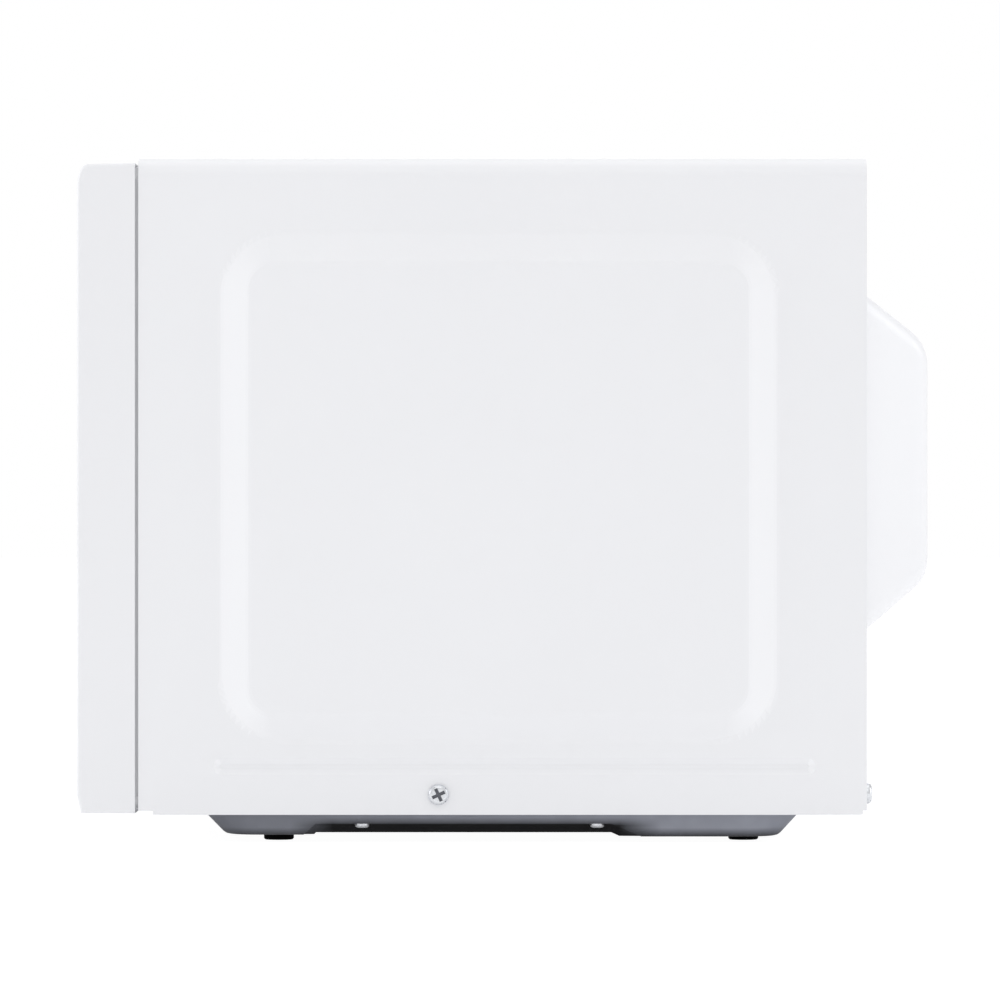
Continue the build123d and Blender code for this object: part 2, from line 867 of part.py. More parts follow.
with BuildPart() as front_plate:
    with BuildSketch(facing(cavity_front_y)):
        add(inner_outline(base_top))
        add(rect(cavity_left, cavity_right, floor_z, ceiling_z), mode=Mode.SUBTRACT)
        for hook_z in (hook_low_z, hook_high_z):
            add(
                rect(
                    latch_x - latch_thick / 2 - hook_slot_side,
                    latch_x + latch_thick / 2 + hook_slot_side,
                    hook_z - hook_height / 2 - fit,
                    hook_z + hook_height / 2 + latch_travel + fit,
                ),
                mode=Mode.SUBTRACT,
            )
        for tab_z in (front_bottom + hinge_pocket - fit - hinge_plate, front_top - hinge_pocket + fit):
            add(
                rect(
                    pivot_x - hinge_neck - fit,
                    pivot_x + hinge_neck + fit,
                    tab_z - fit,
                    tab_z + hinge_plate + fit,
                ),
                mode=Mode.SUBTRACT,
            )
        with Locations((rod_x, rod_z)):
            Circle(rod_radius + rod_play, mode=Mode.SUBTRACT)
        add(
            rect(
                panel_left + harness_margin,
                front_x - harness_margin,
                hook_low_z + harness_margin,
                hook_high_z,
            ),
            mode=Mode.SUBTRACT,
        )
    extrude(amount=sheet)
front_plate.part.label = "front_plate"
export_step(front_plate.part, "parts/front_plate.step")

# Cooking cavity: folded wrap, floor and back
mouth_low_y = cavity_front_y + waveguide_mouth_front
mouth_high_y = mouth_low_y + waveguide_mouth_length
mouth_high_z = ceiling_z - waveguide_mouth_down
mouth_low_z = mouth_high_z - waveguide_mouth_height
holder_low_y = cavity_front_y + holder_front
holder_high_z = ceiling_z - holder_down
lamp_y = holder_low_y + holder_length / 2
lamp_z = holder_high_z - holder_height / 2

with BuildPart() as cavity_wrap:
    with BuildSketch(facing(cavity_back_y)):
        add(rect(cavity_left - sheet, bay_x, floor_z - wall_skirt, ceiling_z + sheet))
        add(rect(cavity_left, cavity_right, 0, ceiling_z), mode=Mode.SUBTRACT)
    extrude(amount=cavity_back_y - cavity_front_y)
    with BuildSketch(Plane.YZ.offset(cavity_right)):
        add(rect(mouth_low_y, mouth_high_y, mouth_low_z, mouth_high_z))
        with Locations((lamp_y, lamp_z)):
            with GridLocations(vent_hole_pitch, vent_hole_pitch, lamp_hole_columns, lamp_hole_rows):
                Circle(vent_hole_radius)
    extrude(amount=sheet, mode=Mode.SUBTRACT)
cavity_wrap.part.label = "cavity_wrap"
export_step(cavity_wrap.part, "parts/cavity_wrap.step")

with BuildPart() as cavity_floor:
    with BuildSketch(Plane.XY.offset(floor_z)):
        add(rect(cavity_left, cavity_right, cavity_front_y, cavity_back_y))
        with Locations((turn_x, turn_y)):
            Circle(coupler_stem_radius + coupler_play, mode=Mode.SUBTRACT)
    extrude(amount=-sheet)
cavity_floor.part.label = "cavity_floor"
export_step(cavity_floor.part, "parts/cavity_floor.step")

with BuildPart() as cavity_back:
    with BuildSketch(facing(cavity_back_y)):
        add(rect(cavity_left - sheet, bay_x, floor_z - wall_skirt, ceiling_z + sheet))
        with Locations((exhaust_x, exhaust_up)):
            with GridLocations(vent_hole_pitch, vent_hole_pitch, exhaust_hole_columns, exhaust_hole_rows):
                Circle(vent_hole_radius, mode=Mode.SUBTRACT)
    extrude(amount=-sheet)
cavity_back.part.label = "cavity_back"
export_step(cavity_back.part, "parts/cavity_back.step")

# Front pieces share one side profile: rounded brow, flat face, slightly tapered chin


def front_outline():
    """Side profile of the front, with Y across and Z up."""
    brow_top = front_top - brow_fall
    brow_low = brow_top - brow_height
    with BuildSketch() as outline:
        with BuildLine():
            Polyline(
                (front_y + brow_depth, brow_top),
                (front_back_y, front_top),
                (front_back_y, front_bottom),
                (front_y + chin_depth, front_bottom),
                (front_y, front_bottom + chin_height),
                (front_y, brow_low),
            )
            brow_middle = (front_y + brow_depth, brow_low)
            EllipticalCenterArc(brow_middle, brow_depth, brow_height, start_angle=90, arc_size=90)
        make_face()
    return outline.sketch


# Door

window_x = (door_left + window_left, door_right - window_right)
window_z = (front_bottom + window_bottom, front_top - window_top)
pocket_x = (door_left + stile, door_right - side_wall)
pocket_z = (front_bottom + side_wall, front_top - side_wall)
screen_y = front_back_y - screen_fore
cover_y = front_back_y - cover_sink - cover_thick
wall_y = front_y + front_wall


def grown(span_x, span_z, margin):
    """Rectangle over two spans, grown by margin on every side."""
    return rect(span_x[0] - margin, span_x[1] + margin, span_z[0] - margin, span_z[1] + margin)


with BuildPart() as door_frame:
    with BuildSketch(Plane.YZ.offset(door_left)):
        add(front_outline())
    extrude(amount=door_right - door_left)
    end_edges = door_frame.faces().sort_by(Axis.X)[0].edges().sort_by(Axis.Y)
    fillet(end_edges[:-1], end_round)
    hinge_edge = door_frame.edges().filter_by(Axis.Z).group_by(Axis.X)[0].sort_by(Axis.Y)[-1]
    fillet(hinge_edge, door_back_round)
    with BuildSketch(facing(front_back_y)):
        add(grown(pocket_x, pocket_z, 0))
    extrude(amount=screen_fore, mode=Mode.SUBTRACT)
    with BuildSketch(facing(screen_y)):
        add(grown(pocket_x, pocket_z, 0))
        add(grown(window_x, window_z, window_rim), mode=Mode.SUBTRACT)
    extrude(amount=screen_y - wall_y, mode=Mode.SUBTRACT)
    with BuildSketch(facing(screen_y)):
        add(grown(window_x, window_z, 0))
    extrude(amount=front_thickness, mode=Mode.SUBTRACT)
    with BuildSketch(facing(front_y)):
        add(grown(window_x, window_z, glass_lap + fit))
    extrude(amount=-(glass_thick + glass_sink), mode=Mode.SUBTRACT)
    for end_z, inward in ((front_bottom, 1), (front_top, -1)):
        with BuildSketch(Plane.XY.offset(end_z)):
            add(
                rect(
                    door_left,
                    pivot_x + hinge_eye + hinge_room,
                    pivot_y - hinge_eye - hinge_room,
                    front_back_y,
                )
            )
        extrude(amount=inward * hinge_pocket, mode=Mode.SUBTRACT)
        with BuildSketch(Plane.XY.offset(end_z + inward * hinge_pocket)):
            with Locations((pivot_x, pivot_y)):
                Circle(pin_radius + run)
        extrude(amount=inward * (pin_length + fit), mode=Mode.SUBTRACT)
door_frame.part.label = "door_frame"
export_step(door_frame.part, "parts/door_frame.step")

with BuildPart() as door_glass:
    with BuildSketch(facing(front_y + glass_sink)):
        add(grown(window_x, window_z, glass_lap))
    extrude(amount=-glass_thick)
door_glass.part.label = "door_glass"
export_step(door_glass.part, "parts/door_glass.step")

screen_x = (pocket_x[0] + fit, latch_x - latch_thick / 2 - hook_slot_side)
screen_z = (pocket_z[0] + fit, pocket_z[1] - fit)

with BuildPart() as door_screen:
    with BuildSketch(facing(screen_y)):
        add(grown(screen_x, screen_z, 0))
    extrude(amount=-sheet)
    with BuildSketch(facing(screen_y)):
        add(grown(screen_x, screen_z, 0))
        add(grown(screen_x, screen_z, -sheet), mode=Mode.SUBTRACT)
    extrude(amount=screen_y - cover_y)
door_screen.part.label = "door_screen"
export_step(door_screen.part, "parts/door_screen.step")

with BuildPart() as door_inner_film:
    with BuildSketch(facing(screen_y + sheet)):
        add(grown(window_x, window_z, glass_lap))
    extrude(amount=-film_thick)
door_inner_film.part.label = "door_inner_film"
export_step(door_inner_film.part, "parts/door_inner_film.step")

with BuildPart() as choke_cover:
    with BuildSketch(facing(cover_y)):
        add(grown(pocket_x, pocket_z, -fit))
        add(grown(window_x, window_z, 0), mode=Mode.SUBTRACT)
        for hook_z in (hook_low_z, hook_high_z):
            add(
                rect(
                    latch_x - latch_thick / 2 - hook_slot_side,
                    latch_x + latch_thick / 2 + hook_slot_side,
                    hook_z - hook_height / 2 - hook_nose - fit,
                    hook_z + hook_height / 2 + latch_travel + fit,
                ),
                mode=Mode.SUBTRACT,
            )
    extrude(amount=-cover_thick)
choke_cover.part.label = "choke_cover"
export_step(choke_cover.part, "parts/choke_cover.step")

with BuildPart() as door_latch:
    with BuildSketch(Plane.YZ.offset(latch_x - latch_thick / 2)):
        add(rect(wall_y + fit, wall_y + fit + latch_bar, hook_low_z - latch_end, hook_high_z + latch_end))
        for hook_z in (hook_low_z, hook_high_z):
            hook_bottom = hook_z - hook_height / 2
            nose_y = cavity_front_y + hook_nose_gap
            add(rect(wall_y + fit, cavity_front_y + hook_reach, hook_bottom, hook_bottom + hook_height))
            with BuildLine():
                Polyline(
                    (nose_y, hook_bottom),
                    (nose_y, hook_bottom - hook_nose),
                    (nose_y + hook_nose_length / 2, hook_bottom - hook_nose),
                    (nose_y + hook_nose_length, hook_bottom),
                    close=True,
                )
            make_face()
    extrude(amount=latch_thick)
door_latch.part.label = "door_latch"
export_step(door_latch.part, "parts/door_latch.step")


def hinge(end_z, inward):
    """Hinge bracket at one end of the door: foot behind the front plate, tab and pin."""
    tab_z = end_z + inward * (hinge_pocket - fit)
    with BuildPart() as bracket:
        with BuildSketch(Plane.XY.offset(tab_z)):
            with Locations((pivot_x, pivot_y)):
                Circle(hinge_eye)
            add(rect(pivot_x - hinge_neck, pivot_x + hinge_neck, pivot_y, cavity_front_y + hinge_plate))
        extrude(amount=-inward * hinge_plate)
        with BuildSketch(Plane.XY.offset(tab_z)):
            with Locations((pivot_x, pivot_y)):
                Circle(pin_radius)
        extrude(amount=inward * pin_length)
        with BuildSketch(facing(cavity_front_y)):
            add(
                rect(
                    fit - base_x,
                    cavity_left - sheet - fit,
                    min(tab_z - inward * hinge_plate, tab_z + inward * hinge_foot),
                    max(tab_z - inward * hinge_plate, tab_z + inward * hinge_foot),
                )
            )
        extrude(amount=-hinge_plate)
    return bracket.part


with BuildPart() as lower_hinge:
    add(hinge(front_bottom, 1))
lower_hinge.part.label = "lower_hinge"
export_step(lower_hinge.part, "parts/lower_hinge.step")

with BuildPart() as upper_hinge:
    add(hinge(front_top, -1))
upper_hinge.part.label = "upper_hinge"
export_step(upper_hinge.part, "parts/upper_hinge.step")

# Control panel: moulded box, keypad, display, board and door-release button

keypad_x = (panel_left + panel_margin, front_x - panel_margin)
keypad_z = (front_bottom + keypad_bottom, front_top - keypad_top)
display_z = (front_top - display_bottom, front_top - display_top)
button_z = (front_bottom + button_bottom, front_bottom + button_top)
housing_x = (panel_left + side_wall, front_x - side_wall)
lip_width = panel_width - 2 * lip_in
lip_height = front_top - front_bottom - 2 * lip_in
board_x = (panel_left + board_margin, front_x - board_margin)
board_z = (keypad_z[0] + board_margin, display_z[1])
board_y = front_back_y - board_fore
post_places = [
    (x, z)
    for x in (panel_left + panel_post_in, front_x - panel_post_in)
    for z in (front_bottom + panel_post_in, front_top - panel_post_in)
]
board_posts = [
    (x, z)
    for x in (board_x[0] + panel_post_in, board_x[1] - panel_post_in)
    for z in (board_z[0] + panel_post_in, display_z[0] - panel_post_in)
]

with BuildPart() as control_housing:
    with BuildSketch(Plane.YZ.offset(panel_left)):
        add(front_outline())
    extrude(amount=panel_width)
    end_edges = control_housing.faces().sort_by(Axis.X)[-1].edges().sort_by(Axis.Y)
    fillet(end_edges[:-1], end_round)
    with BuildSketch(facing(front_back_y)):
        add(grown(housing_x, pocket_z, 0))
    extrude(amount=front_back_y - wall_y, mode=Mode.SUBTRACT)
    with BuildSketch(facing(front_back_y - lip_root)):
        with Locations(((panel_left + front_x) / 2, (front_bottom + front_top) / 2)):
            RectangleRounded(lip_width, lip_height, lip_round)
            RectangleRounded(
                lip_width - 2 * lip_thick,
                lip_height - 2 * lip_thick,
                lip_round - lip_thick,
                mode=Mode.SUBTRACT,
            )
    extrude(amount=-(lip_root + front_gap))
    with BuildSketch(facing(wall_y)):
        with Locations(*post_places):
            Circle(panel_post_radius)
    extrude(amount=wall_y - wrap_front_y)
    with BuildSketch(facing(wall_y)):
        with Locations(*board_posts):
            Circle(board_post_radius)
    extrude(amount=wall_y - board_y)
    with BuildSketch(facing(front_y)):
        add(grown(keypad_x, keypad_z, fit))
    extrude(amount=-(keypad_sink + keypad_thick), mode=Mode.SUBTRACT)
    with BuildSketch(facing(front_y)):
        add(grown(keypad_x, display_z, fit))
    extrude(amount=-(keypad_sink + lens_thick), mode=Mode.SUBTRACT)
    with BuildSketch(facing(front_y)):
        add(grown(keypad_x, display_z, -display_lap))
        add(grown(keypad_x, button_z, fit))
    extrude(amount=-front_wall, mode=Mode.SUBTRACT)
control_housing.part.label = "control_housing"
export_step(control_housing.part, "parts/control_housing.step")

with BuildPart() as keypad_overlay:
    with BuildSketch(facing(front_y + keypad_sink)):
        add(grown(keypad_x, keypad_z, 0))
    extrude(amount=-keypad_thick)
keypad_overlay.part.label = "keypad_overlay"
export_step(keypad_overlay.part, "parts/keypad_overlay.step")

with BuildPart() as display_lens:
    with BuildSketch(facing(front_y + keypad_sink)):
        add(grown(keypad_x, display_z, 0))
    extrude(amount=-lens_thick)
display_lens.part.label = "display_lens"
export_step(display_lens.part, "parts/display_lens.step")

with BuildPart() as control_board:
    with BuildSketch(facing(board_y)):
        add(grown(board_x, board_z, 0))
    extrude(amount=-board_thick)
    with BuildSketch(facing(board_y + board_thick)):
        with Locations(((board_x[0] + board_x[1]) / 2, (board_z[0] + board_z[1]) / 2)):
            with GridLocations(relay_pitch, relay_pitch, 2, relay_count):
                Rectangle(relay_size[0], relay_size[2])
    extrude(amount=-relay_size[1])
control_board.part.label = "control_board"
export_step(control_board.part, "parts/control_board.step")

with BuildPart() as display_module:
    with BuildSketch(facing(board_y)):
        add(grown(keypad_x, display_z, -display_lap - fit))
    extrude(amount=board_y - wall_y)
display_module.part.label = "display_module"
export_step(display_module.part, "parts/display_module.step")

rod_tip_y = crank_y - crank_shaft_radius - fit
button_back_y = front_y + button_sink + button_thick

with BuildPart() as door_release_button:
    with BuildSketch(facing(front_y + button_sink)):
        add(grown(keypad_x, button_z, 0))
    extrude(amount=-button_thick)
    fillet(door_release_button.faces().sort_by(Axis.Y)[0].edges(), button_round)
    with BuildSketch(facing(button_back_y)):
        add(grown(keypad_x, button_z, -fit))
        add(grown(keypad_x, button_z, -fit - side_wall), mode=Mode.SUBTRACT)
    extrude(amount=-(button_skirt - button_thick))
    with BuildSketch(facing(button_back_y)):
        with Locations((rod_x, rod_z)):
            Circle(rod_radius)
    extrude(amount=-(rod_tip_y - rod_radius - button_back_y))
    with Locations((rod_x, rod_tip_y - rod_radius, rod_z)):
        Sphere(rod_radius)
door_release_button.part.label = "door_release_button"
export_step(door_release_button.part, "parts/door_release_button.step")

# Interlock: bracket, release crank and door switches

bracket_x = latch_x + latch_thick / 2 + bracket_gap
hook_tip_y = cavity_front_y + hook_reach
switch_y = hook_tip_y + switch_gap + plunger_length
switch_places = (hook_low_z, hook_low_z + switch_height + fit, hook_high_z)

with BuildPart() as interlock_bracket:
    with BuildSketch(Plane.YZ.offset(bracket_x)):
        add(
            rect(
                cavity_front_y,
                switch_y + switch_length,
                hook_low_z - bracket_end,
                hook_high_z + bracket_end,
            )
        )
        add(
            rect(
                switch_y,
                switch_y + switch_length,
                hook_low_z + bracket_end + switch_height,
                hook_high_z - bracket_end,
            ),
            mode=Mode.SUBTRACT,
        )
        with Locations((crank_y, crank_z)):
            Circle(crank_shaft_radius + run, mode=Mode.SUBTRACT)
    extrude(amount=bracket_thick)
    with BuildSketch(facing(cavity_front_y)):
        add(
            rect(
                bracket_x,
                bracket_x + bracket_foot,
                hook_low_z - bracket_end,
                hook_high_z + bracket_end,
            )
        )
    extrude(amount=-bracket_thick)
interlock_bracket.part.label = "interlock_bracket"
export_step(interlock_bracket.part, "parts/interlock_bracket.step")

with BuildPart() as door_switches:
    for switch_z in switch_places:
        with BuildSketch(facing(switch_y)):
            add(
                rect(
                    bracket_x - switch_thick,
                    bracket_x,
                    switch_z - switch_height / 2,
                    switch_z + switch_height / 2,
                )
            )
        extrude(amount=-switch_length)
        with BuildSketch(facing(switch_y)):
            with Locations((latch_x, switch_z)):
                Rectangle(plunger_width, plunger_width)
        extrude(amount=plunger_length)
door_switches.part.label = "door_switches"
export_step(door_switches.part, "parts/door_switches.step")

arm_top = hook_low_z - hook_height / 2 - fit

with BuildPart() as release_lever:
    with BuildSketch(Plane.YZ.offset(latch_x - latch_thick / 2)):
        with Locations((crank_y, crank_z)):
            Circle(crank_shaft_radius)
    extrude(amount=rod_x + paddle_width / 2 - latch_x + latch_thick / 2)
    with BuildSketch(Plane.YZ.offset(latch_x - latch_thick / 2)):
        with BuildLine():
            Polyline(
                (crank_y - crank_shaft_radius, crank_z),
                (crank_y + crank_tip / 2, arm_top),
                (crank_y + crank_tip, arm_top),
                (crank_y + crank_tip, arm_top - crank_lift),
                (crank_y + crank_shaft_radius, crank_z),
                close=True,
            )
        make_face()
    extrude(amount=latch_thick)
    with BuildSketch(Plane.YZ.offset(rod_x - paddle_width / 2)):
        add(rect(crank_y - crank_shaft_radius, crank_y, rod_z - paddle_end, crank_z))
    extrude(amount=paddle_width)
release_lever.part.label = "release_lever"
export_step(release_lever.part, "parts/release_lever.step")

# Waveguide and magnetron on the bay side of the cavity

guide_low_y = mouth_low_y - guide_front
guide_high_y = guide_low_y + guide_length
guide_z = (mouth_low_z - guide_edge, mouth_high_z + guide_edge)
guide_out_x = bay_x + guide_depth
tube_y = guide_high_y - tube_back
tube_z = (mouth_low_z + mouth_high_z) / 2
yoke_end_x = guide_out_x + yoke_length

with BuildPart() as waveguide:
    with BuildSketch(Plane.YZ.offset(bay_x)):
        add(rect(guide_low_y, guide_high_y, *guide_z))
    extrude(amount=guide_depth)
    with BuildSketch(Plane.YZ.offset(bay_x)):
        add(
            rect(
                guide_low_y + guide_sheet,
                guide_high_y - guide_sheet,
                guide_z[0] + guide_sheet,
                guide_z[1] - guide_sheet,
            )
        )
    extrude(amount=guide_depth - guide_sheet, mode=Mode.SUBTRACT)
    with BuildSketch(Plane.YZ.offset(guide_out_x)):
        with Locations((tube_y, tube_z)):
            Circle(antenna_hole)
    extrude(amount=-guide_sheet, mode=Mode.SUBTRACT)
waveguide.part.label = "waveguide"
export_step(waveguide.part, "parts/waveguide.step")

with BuildPart() as waveguide_cover:
    with BuildSketch(Plane.YZ.offset(cavity_right)):
        add(
            rect(
                mouth_low_y - cover_lap,
                mouth_high_y + cover_lap,
                mouth_low_z - cover_lap,
                mouth_high_z + cover_lap,
            )
        )
    extrude(amount=-mica_thick)
waveguide_cover.part.label = "waveguide_cover"
export_step(waveguide_cover.part, "parts/waveguide_cover.step")

with BuildPart() as magnetron_yoke:
    with BuildSketch(facing(tube_y + yoke_width / 2)):
        add(rect(guide_out_x, yoke_end_x, tube_z - yoke_height / 2, tube_z + yoke_height / 2))
        add(
            rect(
                guide_out_x + yoke_sheet,
                yoke_end_x - yoke_sheet,
                tube_z - yoke_height / 2 + yoke_sheet,
                tube_z + yoke_height / 2 - yoke_sheet,
            ),
            mode=Mode.SUBTRACT,
        )
    extrude(amount=yoke_width)
    with BuildSketch(Plane.YZ.offset(guide_out_x)):
        with Locations((tube_y, tube_z)):
            Circle(antenna_hole)
    extrude(amount=yoke_length, mode=Mode.SUBTRACT)
magnetron_yoke.part.label = "magnetron_yoke"
export_step(magnetron_yoke.part, "parts/magnetron_yoke.step")

magnet_starts = (guide_out_x + yoke_sheet, yoke_end_x - yoke_sheet - magnet_thick)
tube_start_x = magnet_starts[0] + magnet_thick
tube_end_x = magnet_starts[1]

with BuildPart() as magnetron_magnets:
    for magnet_x in magnet_starts:
        with BuildSketch(Plane.YZ.offset(magnet_x)):
            with Locations((tube_y, tube_z)):
                Circle(magnet_radius)
                Circle(antenna_hole, mode=Mode.SUBTRACT)
        extrude(amount=magnet_thick)
magnetron_magnets.part.label = "magnetron_magnets"
export_step(magnetron_magnets.part, "parts/magnetron_magnets.step")

with BuildPart() as magnetron_tube:
    with BuildSketch(Plane.YZ.offset(tube_start_x)):
        with Locations((tube_y, tube_z)):
            Circle(tube_radius)
    extrude(amount=tube_end_x - tube_start_x)
    with BuildSketch(Plane.YZ.offset(tube_start_x)):
        with Locations((tube_y, tube_z)):
            Circle(antenna_radius)
    extrude(amount=-(magnet_thick + yoke_sheet + antenna_length))
    fillet(magnetron_tube.edges().sort_by(Axis.X)[0], antenna_radius / 2)
magnetron_tube.part.label = "magnetron_tube"
export_step(magnetron_tube.part, "parts/magnetron_tube.step")

fin_start_x = (tube_start_x + tube_end_x - (fin_count - 1) * fin_pitch - fin_thick) / 2

with BuildPart() as magnetron_fins:
    for fin_index in range(fin_count):
        with BuildSketch(Plane.YZ.offset(fin_start_x + fin_index * fin_pitch)):
            with Locations((tube_y, tube_z)):
                Rectangle(
                    yoke_width - 2 * fin_margin,
                    yoke_height - 2 * yoke_sheet - 2 * fit,
                )
                Circle(tube_radius + run, mode=Mode.SUBTRACT)
        extrude(amount=fin_thick)
magnetron_fins.part.label = "magnetron_fins"
export_step(magnetron_fins.part, "parts/magnetron_fins.step")

with BuildPart() as magnetron_filter_box:
    with BuildSketch(Plane.YZ.offset(yoke_end_x)):
        with Locations((tube_y, tube_z)):
            RectangleRounded(filter_width, filter_height, bend_radius)
    extrude(amount=filter_depth)
    fillet(magnetron_filter_box.faces().sort_by(Axis.X)[-1].edges(), fin_margin)
magnetron_filter_box.part.label = "magnetron_filter_box"
export_step(magnetron_filter_box.part, "parts/magnetron_filter_box.step")

# High-voltage transformer on the pan floor

core_high_x = skin_x - transformer_right
core_low_x = core_high_x - core_width
core_mid_x = (core_low_x + core_high_x) / 2
core_front_y = cavity_front_y + transformer_front
core_mid_y = core_front_y + core_depth / 2
coil_room = (core_width - core_middle_leg) / 2 - core_leg
coil_wall = coil_room - 2 * coil_play

with BuildPart() as transformer_core:
    with BuildSketch(facing(core_front_y + core_depth)):
        add(rect(core_low_x, core_high_x, pan_top, pan_top + core_height))
        for window_low_x in (core_low_x + core_leg, core_high_x - core_leg - coil_room):
            add(
                rect(
                    window_low_x,
                    window_low_x + coil_room,
                    pan_top + core_yoke,
                    pan_top + core_height - core_yoke,
                ),
                mode=Mode.SUBTRACT,
            )
    extrude(amount=core_depth)
transformer_core.part.label = "transformer_core"
export_step(transformer_core.part, "parts/transformer_core.step")


def winding(low_z, height):
    """Coil round the middle leg of the core."""
    with BuildPart() as coil:
        with BuildSketch(Plane.XY.offset(low_z)):
            with Locations((core_mid_x, core_mid_y)):
                RectangleRounded(
                    core_middle_leg + 2 * coil_play + 2 * coil_wall,
                    core_depth + 2 * coil_play + 2 * coil_wall,
                    coil_wall / 2,
                )
                Rectangle(
                    core_middle_leg + 2 * coil_play,
                    core_depth + 2 * coil_play,
                    mode=Mode.SUBTRACT,
                )
        extrude(amount=height)
    return coil.part


coil_low_z = pan_top + core_yoke
with BuildPart() as primary_winding:
    add(winding(coil_low_z, primary_height))
primary_winding.part.label = "primary_winding"
export_step(primary_winding.part, "parts/primary_winding.step")

with BuildPart() as secondary_winding:
    add(winding(coil_low_z + primary_height + coil_play, secondary_height))
secondary_winding.part.label = "secondary_winding"
export_step(secondary_winding.part, "parts/secondary_winding.step")

# High-voltage capacitor, its clamp and the diode, behind the transformer

can_x = bay_x + can_width / 2 + clamp_ear + 2 * clamp_sheet
can_front_y = core_front_y + core_depth + can_gap
can_z = pan_top + can_height / 2 + clamp_sheet + run
clamp_front_y = can_front_y + (can_length - clamp_width) / 2

with BuildPart() as capacitor:
    with BuildSketch(facing(can_front_y + can_length)):
        with Locations((can_x, can_z)):
            SlotOverall(can_width, can_height)
    extrude(amount=can_length)
    chamfer(capacitor.faces().sort_by(Axis.Y)[-1].edges(), can_rim)
    with BuildSketch(facing(can_front_y)):
        with Locations((can_x, can_z)):
            with GridLocations(tab_pitch, tab_pitch, 2, 1):
                Rectangle(tab_width, tab_thick)
    extrude(amount=tab_height)
capacitor.part.label = "capacitor"
export_step(capacitor.part, "parts/capacitor.step")

with BuildPart() as capacitor_clamp:
    with BuildSketch(facing(clamp_front_y + clamp_width)):
        with Locations((can_x, can_z)):
            SlotOverall(can_width + 2 * run + 2 * clamp_sheet, can_height + 2 * run + 2 * clamp_sheet)
            SlotOverall(can_width + 2 * run, can_height + 2 * run, mode=Mode.SUBTRACT)
        add(
            rect(
                can_x - can_width / 2 - clamp_ear,
                can_x - can_width / 2 + can_height / 2,
                pan_top,
                pan_top + clamp_sheet,
            )
        )
    extrude(amount=clamp_width)
capacitor_clamp.part.label = "capacitor_clamp"
export_step(capacitor_clamp.part, "parts/capacitor_clamp.step")

diode_x = can_x + can_width / 2 + diode_gap
diode_front_y = recess_high_y - recess_rear_run - diode_seat

with BuildPart() as hv_diode:
    with BuildSketch(facing(diode_front_y + diode_length)):
        with Locations((diode_x, pan_top + diode_radius)):
            Circle(diode_radius)
    extrude(amount=diode_length)
    chamfer(hv_diode.edges(), can_rim)
hv_diode.part.label = "hv_diode"
export_step(hv_diode.part, "parts/hv_diode.step")

# Mains filter board on stand-offs inside the rear panel

mains_high_x = gland_x - mains_gap
mains_x = mains_high_x - mains_width / 2
mains_z = base_z + mains_up + mains_height / 2
mains_y = panel_in_y - mains_stand

with BuildPart() as filter_board:
    with BuildSketch(facing(mains_y)):
        with Locations((mains_x, mains_z)):
            Rectangle(mains_width, mains_height)
    extrude(amount=board_thick)
    with BuildSketch(facing(mains_y)):
        with Locations((mains_x, mains_z)):
            with GridLocations(mains_width - 2 * mains_post_in, mains_height - 2 * mains_post_in, 2, 2):
                Circle(mains_post_radius)
    extrude(amount=-mains_stand)
    with BuildSketch(facing(mains_y - board_thick)):
        with Locations((mains_x - mains_width / 4, mains_z)):
            Circle(choke_radius)
        with Locations((mains_x + mains_width / 4, mains_z)):
            Rectangle(fuse_length, fuse_width)
    extrude(amount=choke_height)
filter_board.part.label = "filter_board"
export_step(filter_board.part, "parts/filter_board.step")

# Cooling fan in the bump

shroud_y = panel_in_y - shroud_fore
shroud_back_y = shroud_y + shroud_thick
shroud_low_z = bump_low - shroud_lap
shroud_high_z = bump_high + shroud_lap
motor_back_y = bump_y - sheet
motor_front_y = motor_back_y - motor_depth
hub_front_y = shroud_back_y + blade_play
shaft_front_y = hub_front_y + hub_nose

with BuildPart() as fan_motor:
    with BuildSketch(facing(motor_back_y)):
        with Locations((fan_x, fan_z)):
            RectangleRounded(motor_size, motor_size, bend_radius)
    extrude(amount=motor_depth)
    with BuildSketch(facing(motor_front_y)):
        with Locations((fan_x, fan_z)):
            Circle(motor_boss_radius)
    extrude(amount=motor_boss_length)
    with BuildSketch(facing(motor_front_y - motor_boss_length)):
        with Locations((fan_x, fan_z)):
            Circle(shaft_radius + run)
    extrude(amount=-motor_depth, mode=Mode.SUBTRACT)
fan_motor.part.label = "fan_motor"
export_step(fan_motor.part, "parts/fan_motor.step")

with BuildPart() as fan_shaft:
    with BuildSketch(facing(motor_back_y - motor_boss_length - fit)):
        with Locations((fan_x, fan_z)):
            Circle(shaft_radius)
    extrude(amount=motor_back_y - motor_boss_length - fit - shaft_front_y)
fan_shaft.part.label = "fan_shaft"
export_step(fan_shaft.part, "parts/fan_shaft.step")

with BuildPart() as fan_shroud:
    with BuildSketch(facing(shroud_back_y)):
        add(rect(fan_x - shroud_half, fan_x + shroud_half, shroud_low_z, shroud_high_z))
        with Locations((fan_x, fan_z)):
            Circle(blade_tip + blade_play, mode=Mode.SUBTRACT)
    extrude(amount=shroud_thick)
    with BuildSketch(facing(shroud_back_y)):
        with Locations((fan_x, fan_z)):
            Circle(blade_tip + blade_play + shroud_collar)
            Circle(blade_tip + blade_play, mode=Mode.SUBTRACT)
    extrude(amount=-shroud_collar_length)
    with BuildSketch(facing(shroud_back_y)):
        for post_x in (fan_x - shroud_half + shroud_lap, fan_x + shroud_half - shroud_lap):
            for post_z in (shroud_low_z + shroud_post_radius, shroud_high_z - shroud_post_radius):
                with Locations((post_x, post_z)):
                    Circle(shroud_post_radius)
    extrude(amount=-(panel_in_y - shroud_back_y))
fan_shroud.part.label = "fan_shroud"
export_step(fan_shroud.part, "parts/fan_shroud.step")

blade_y = hub_front_y + hub_length / 2
blade_root = hub_radius - hub_nose


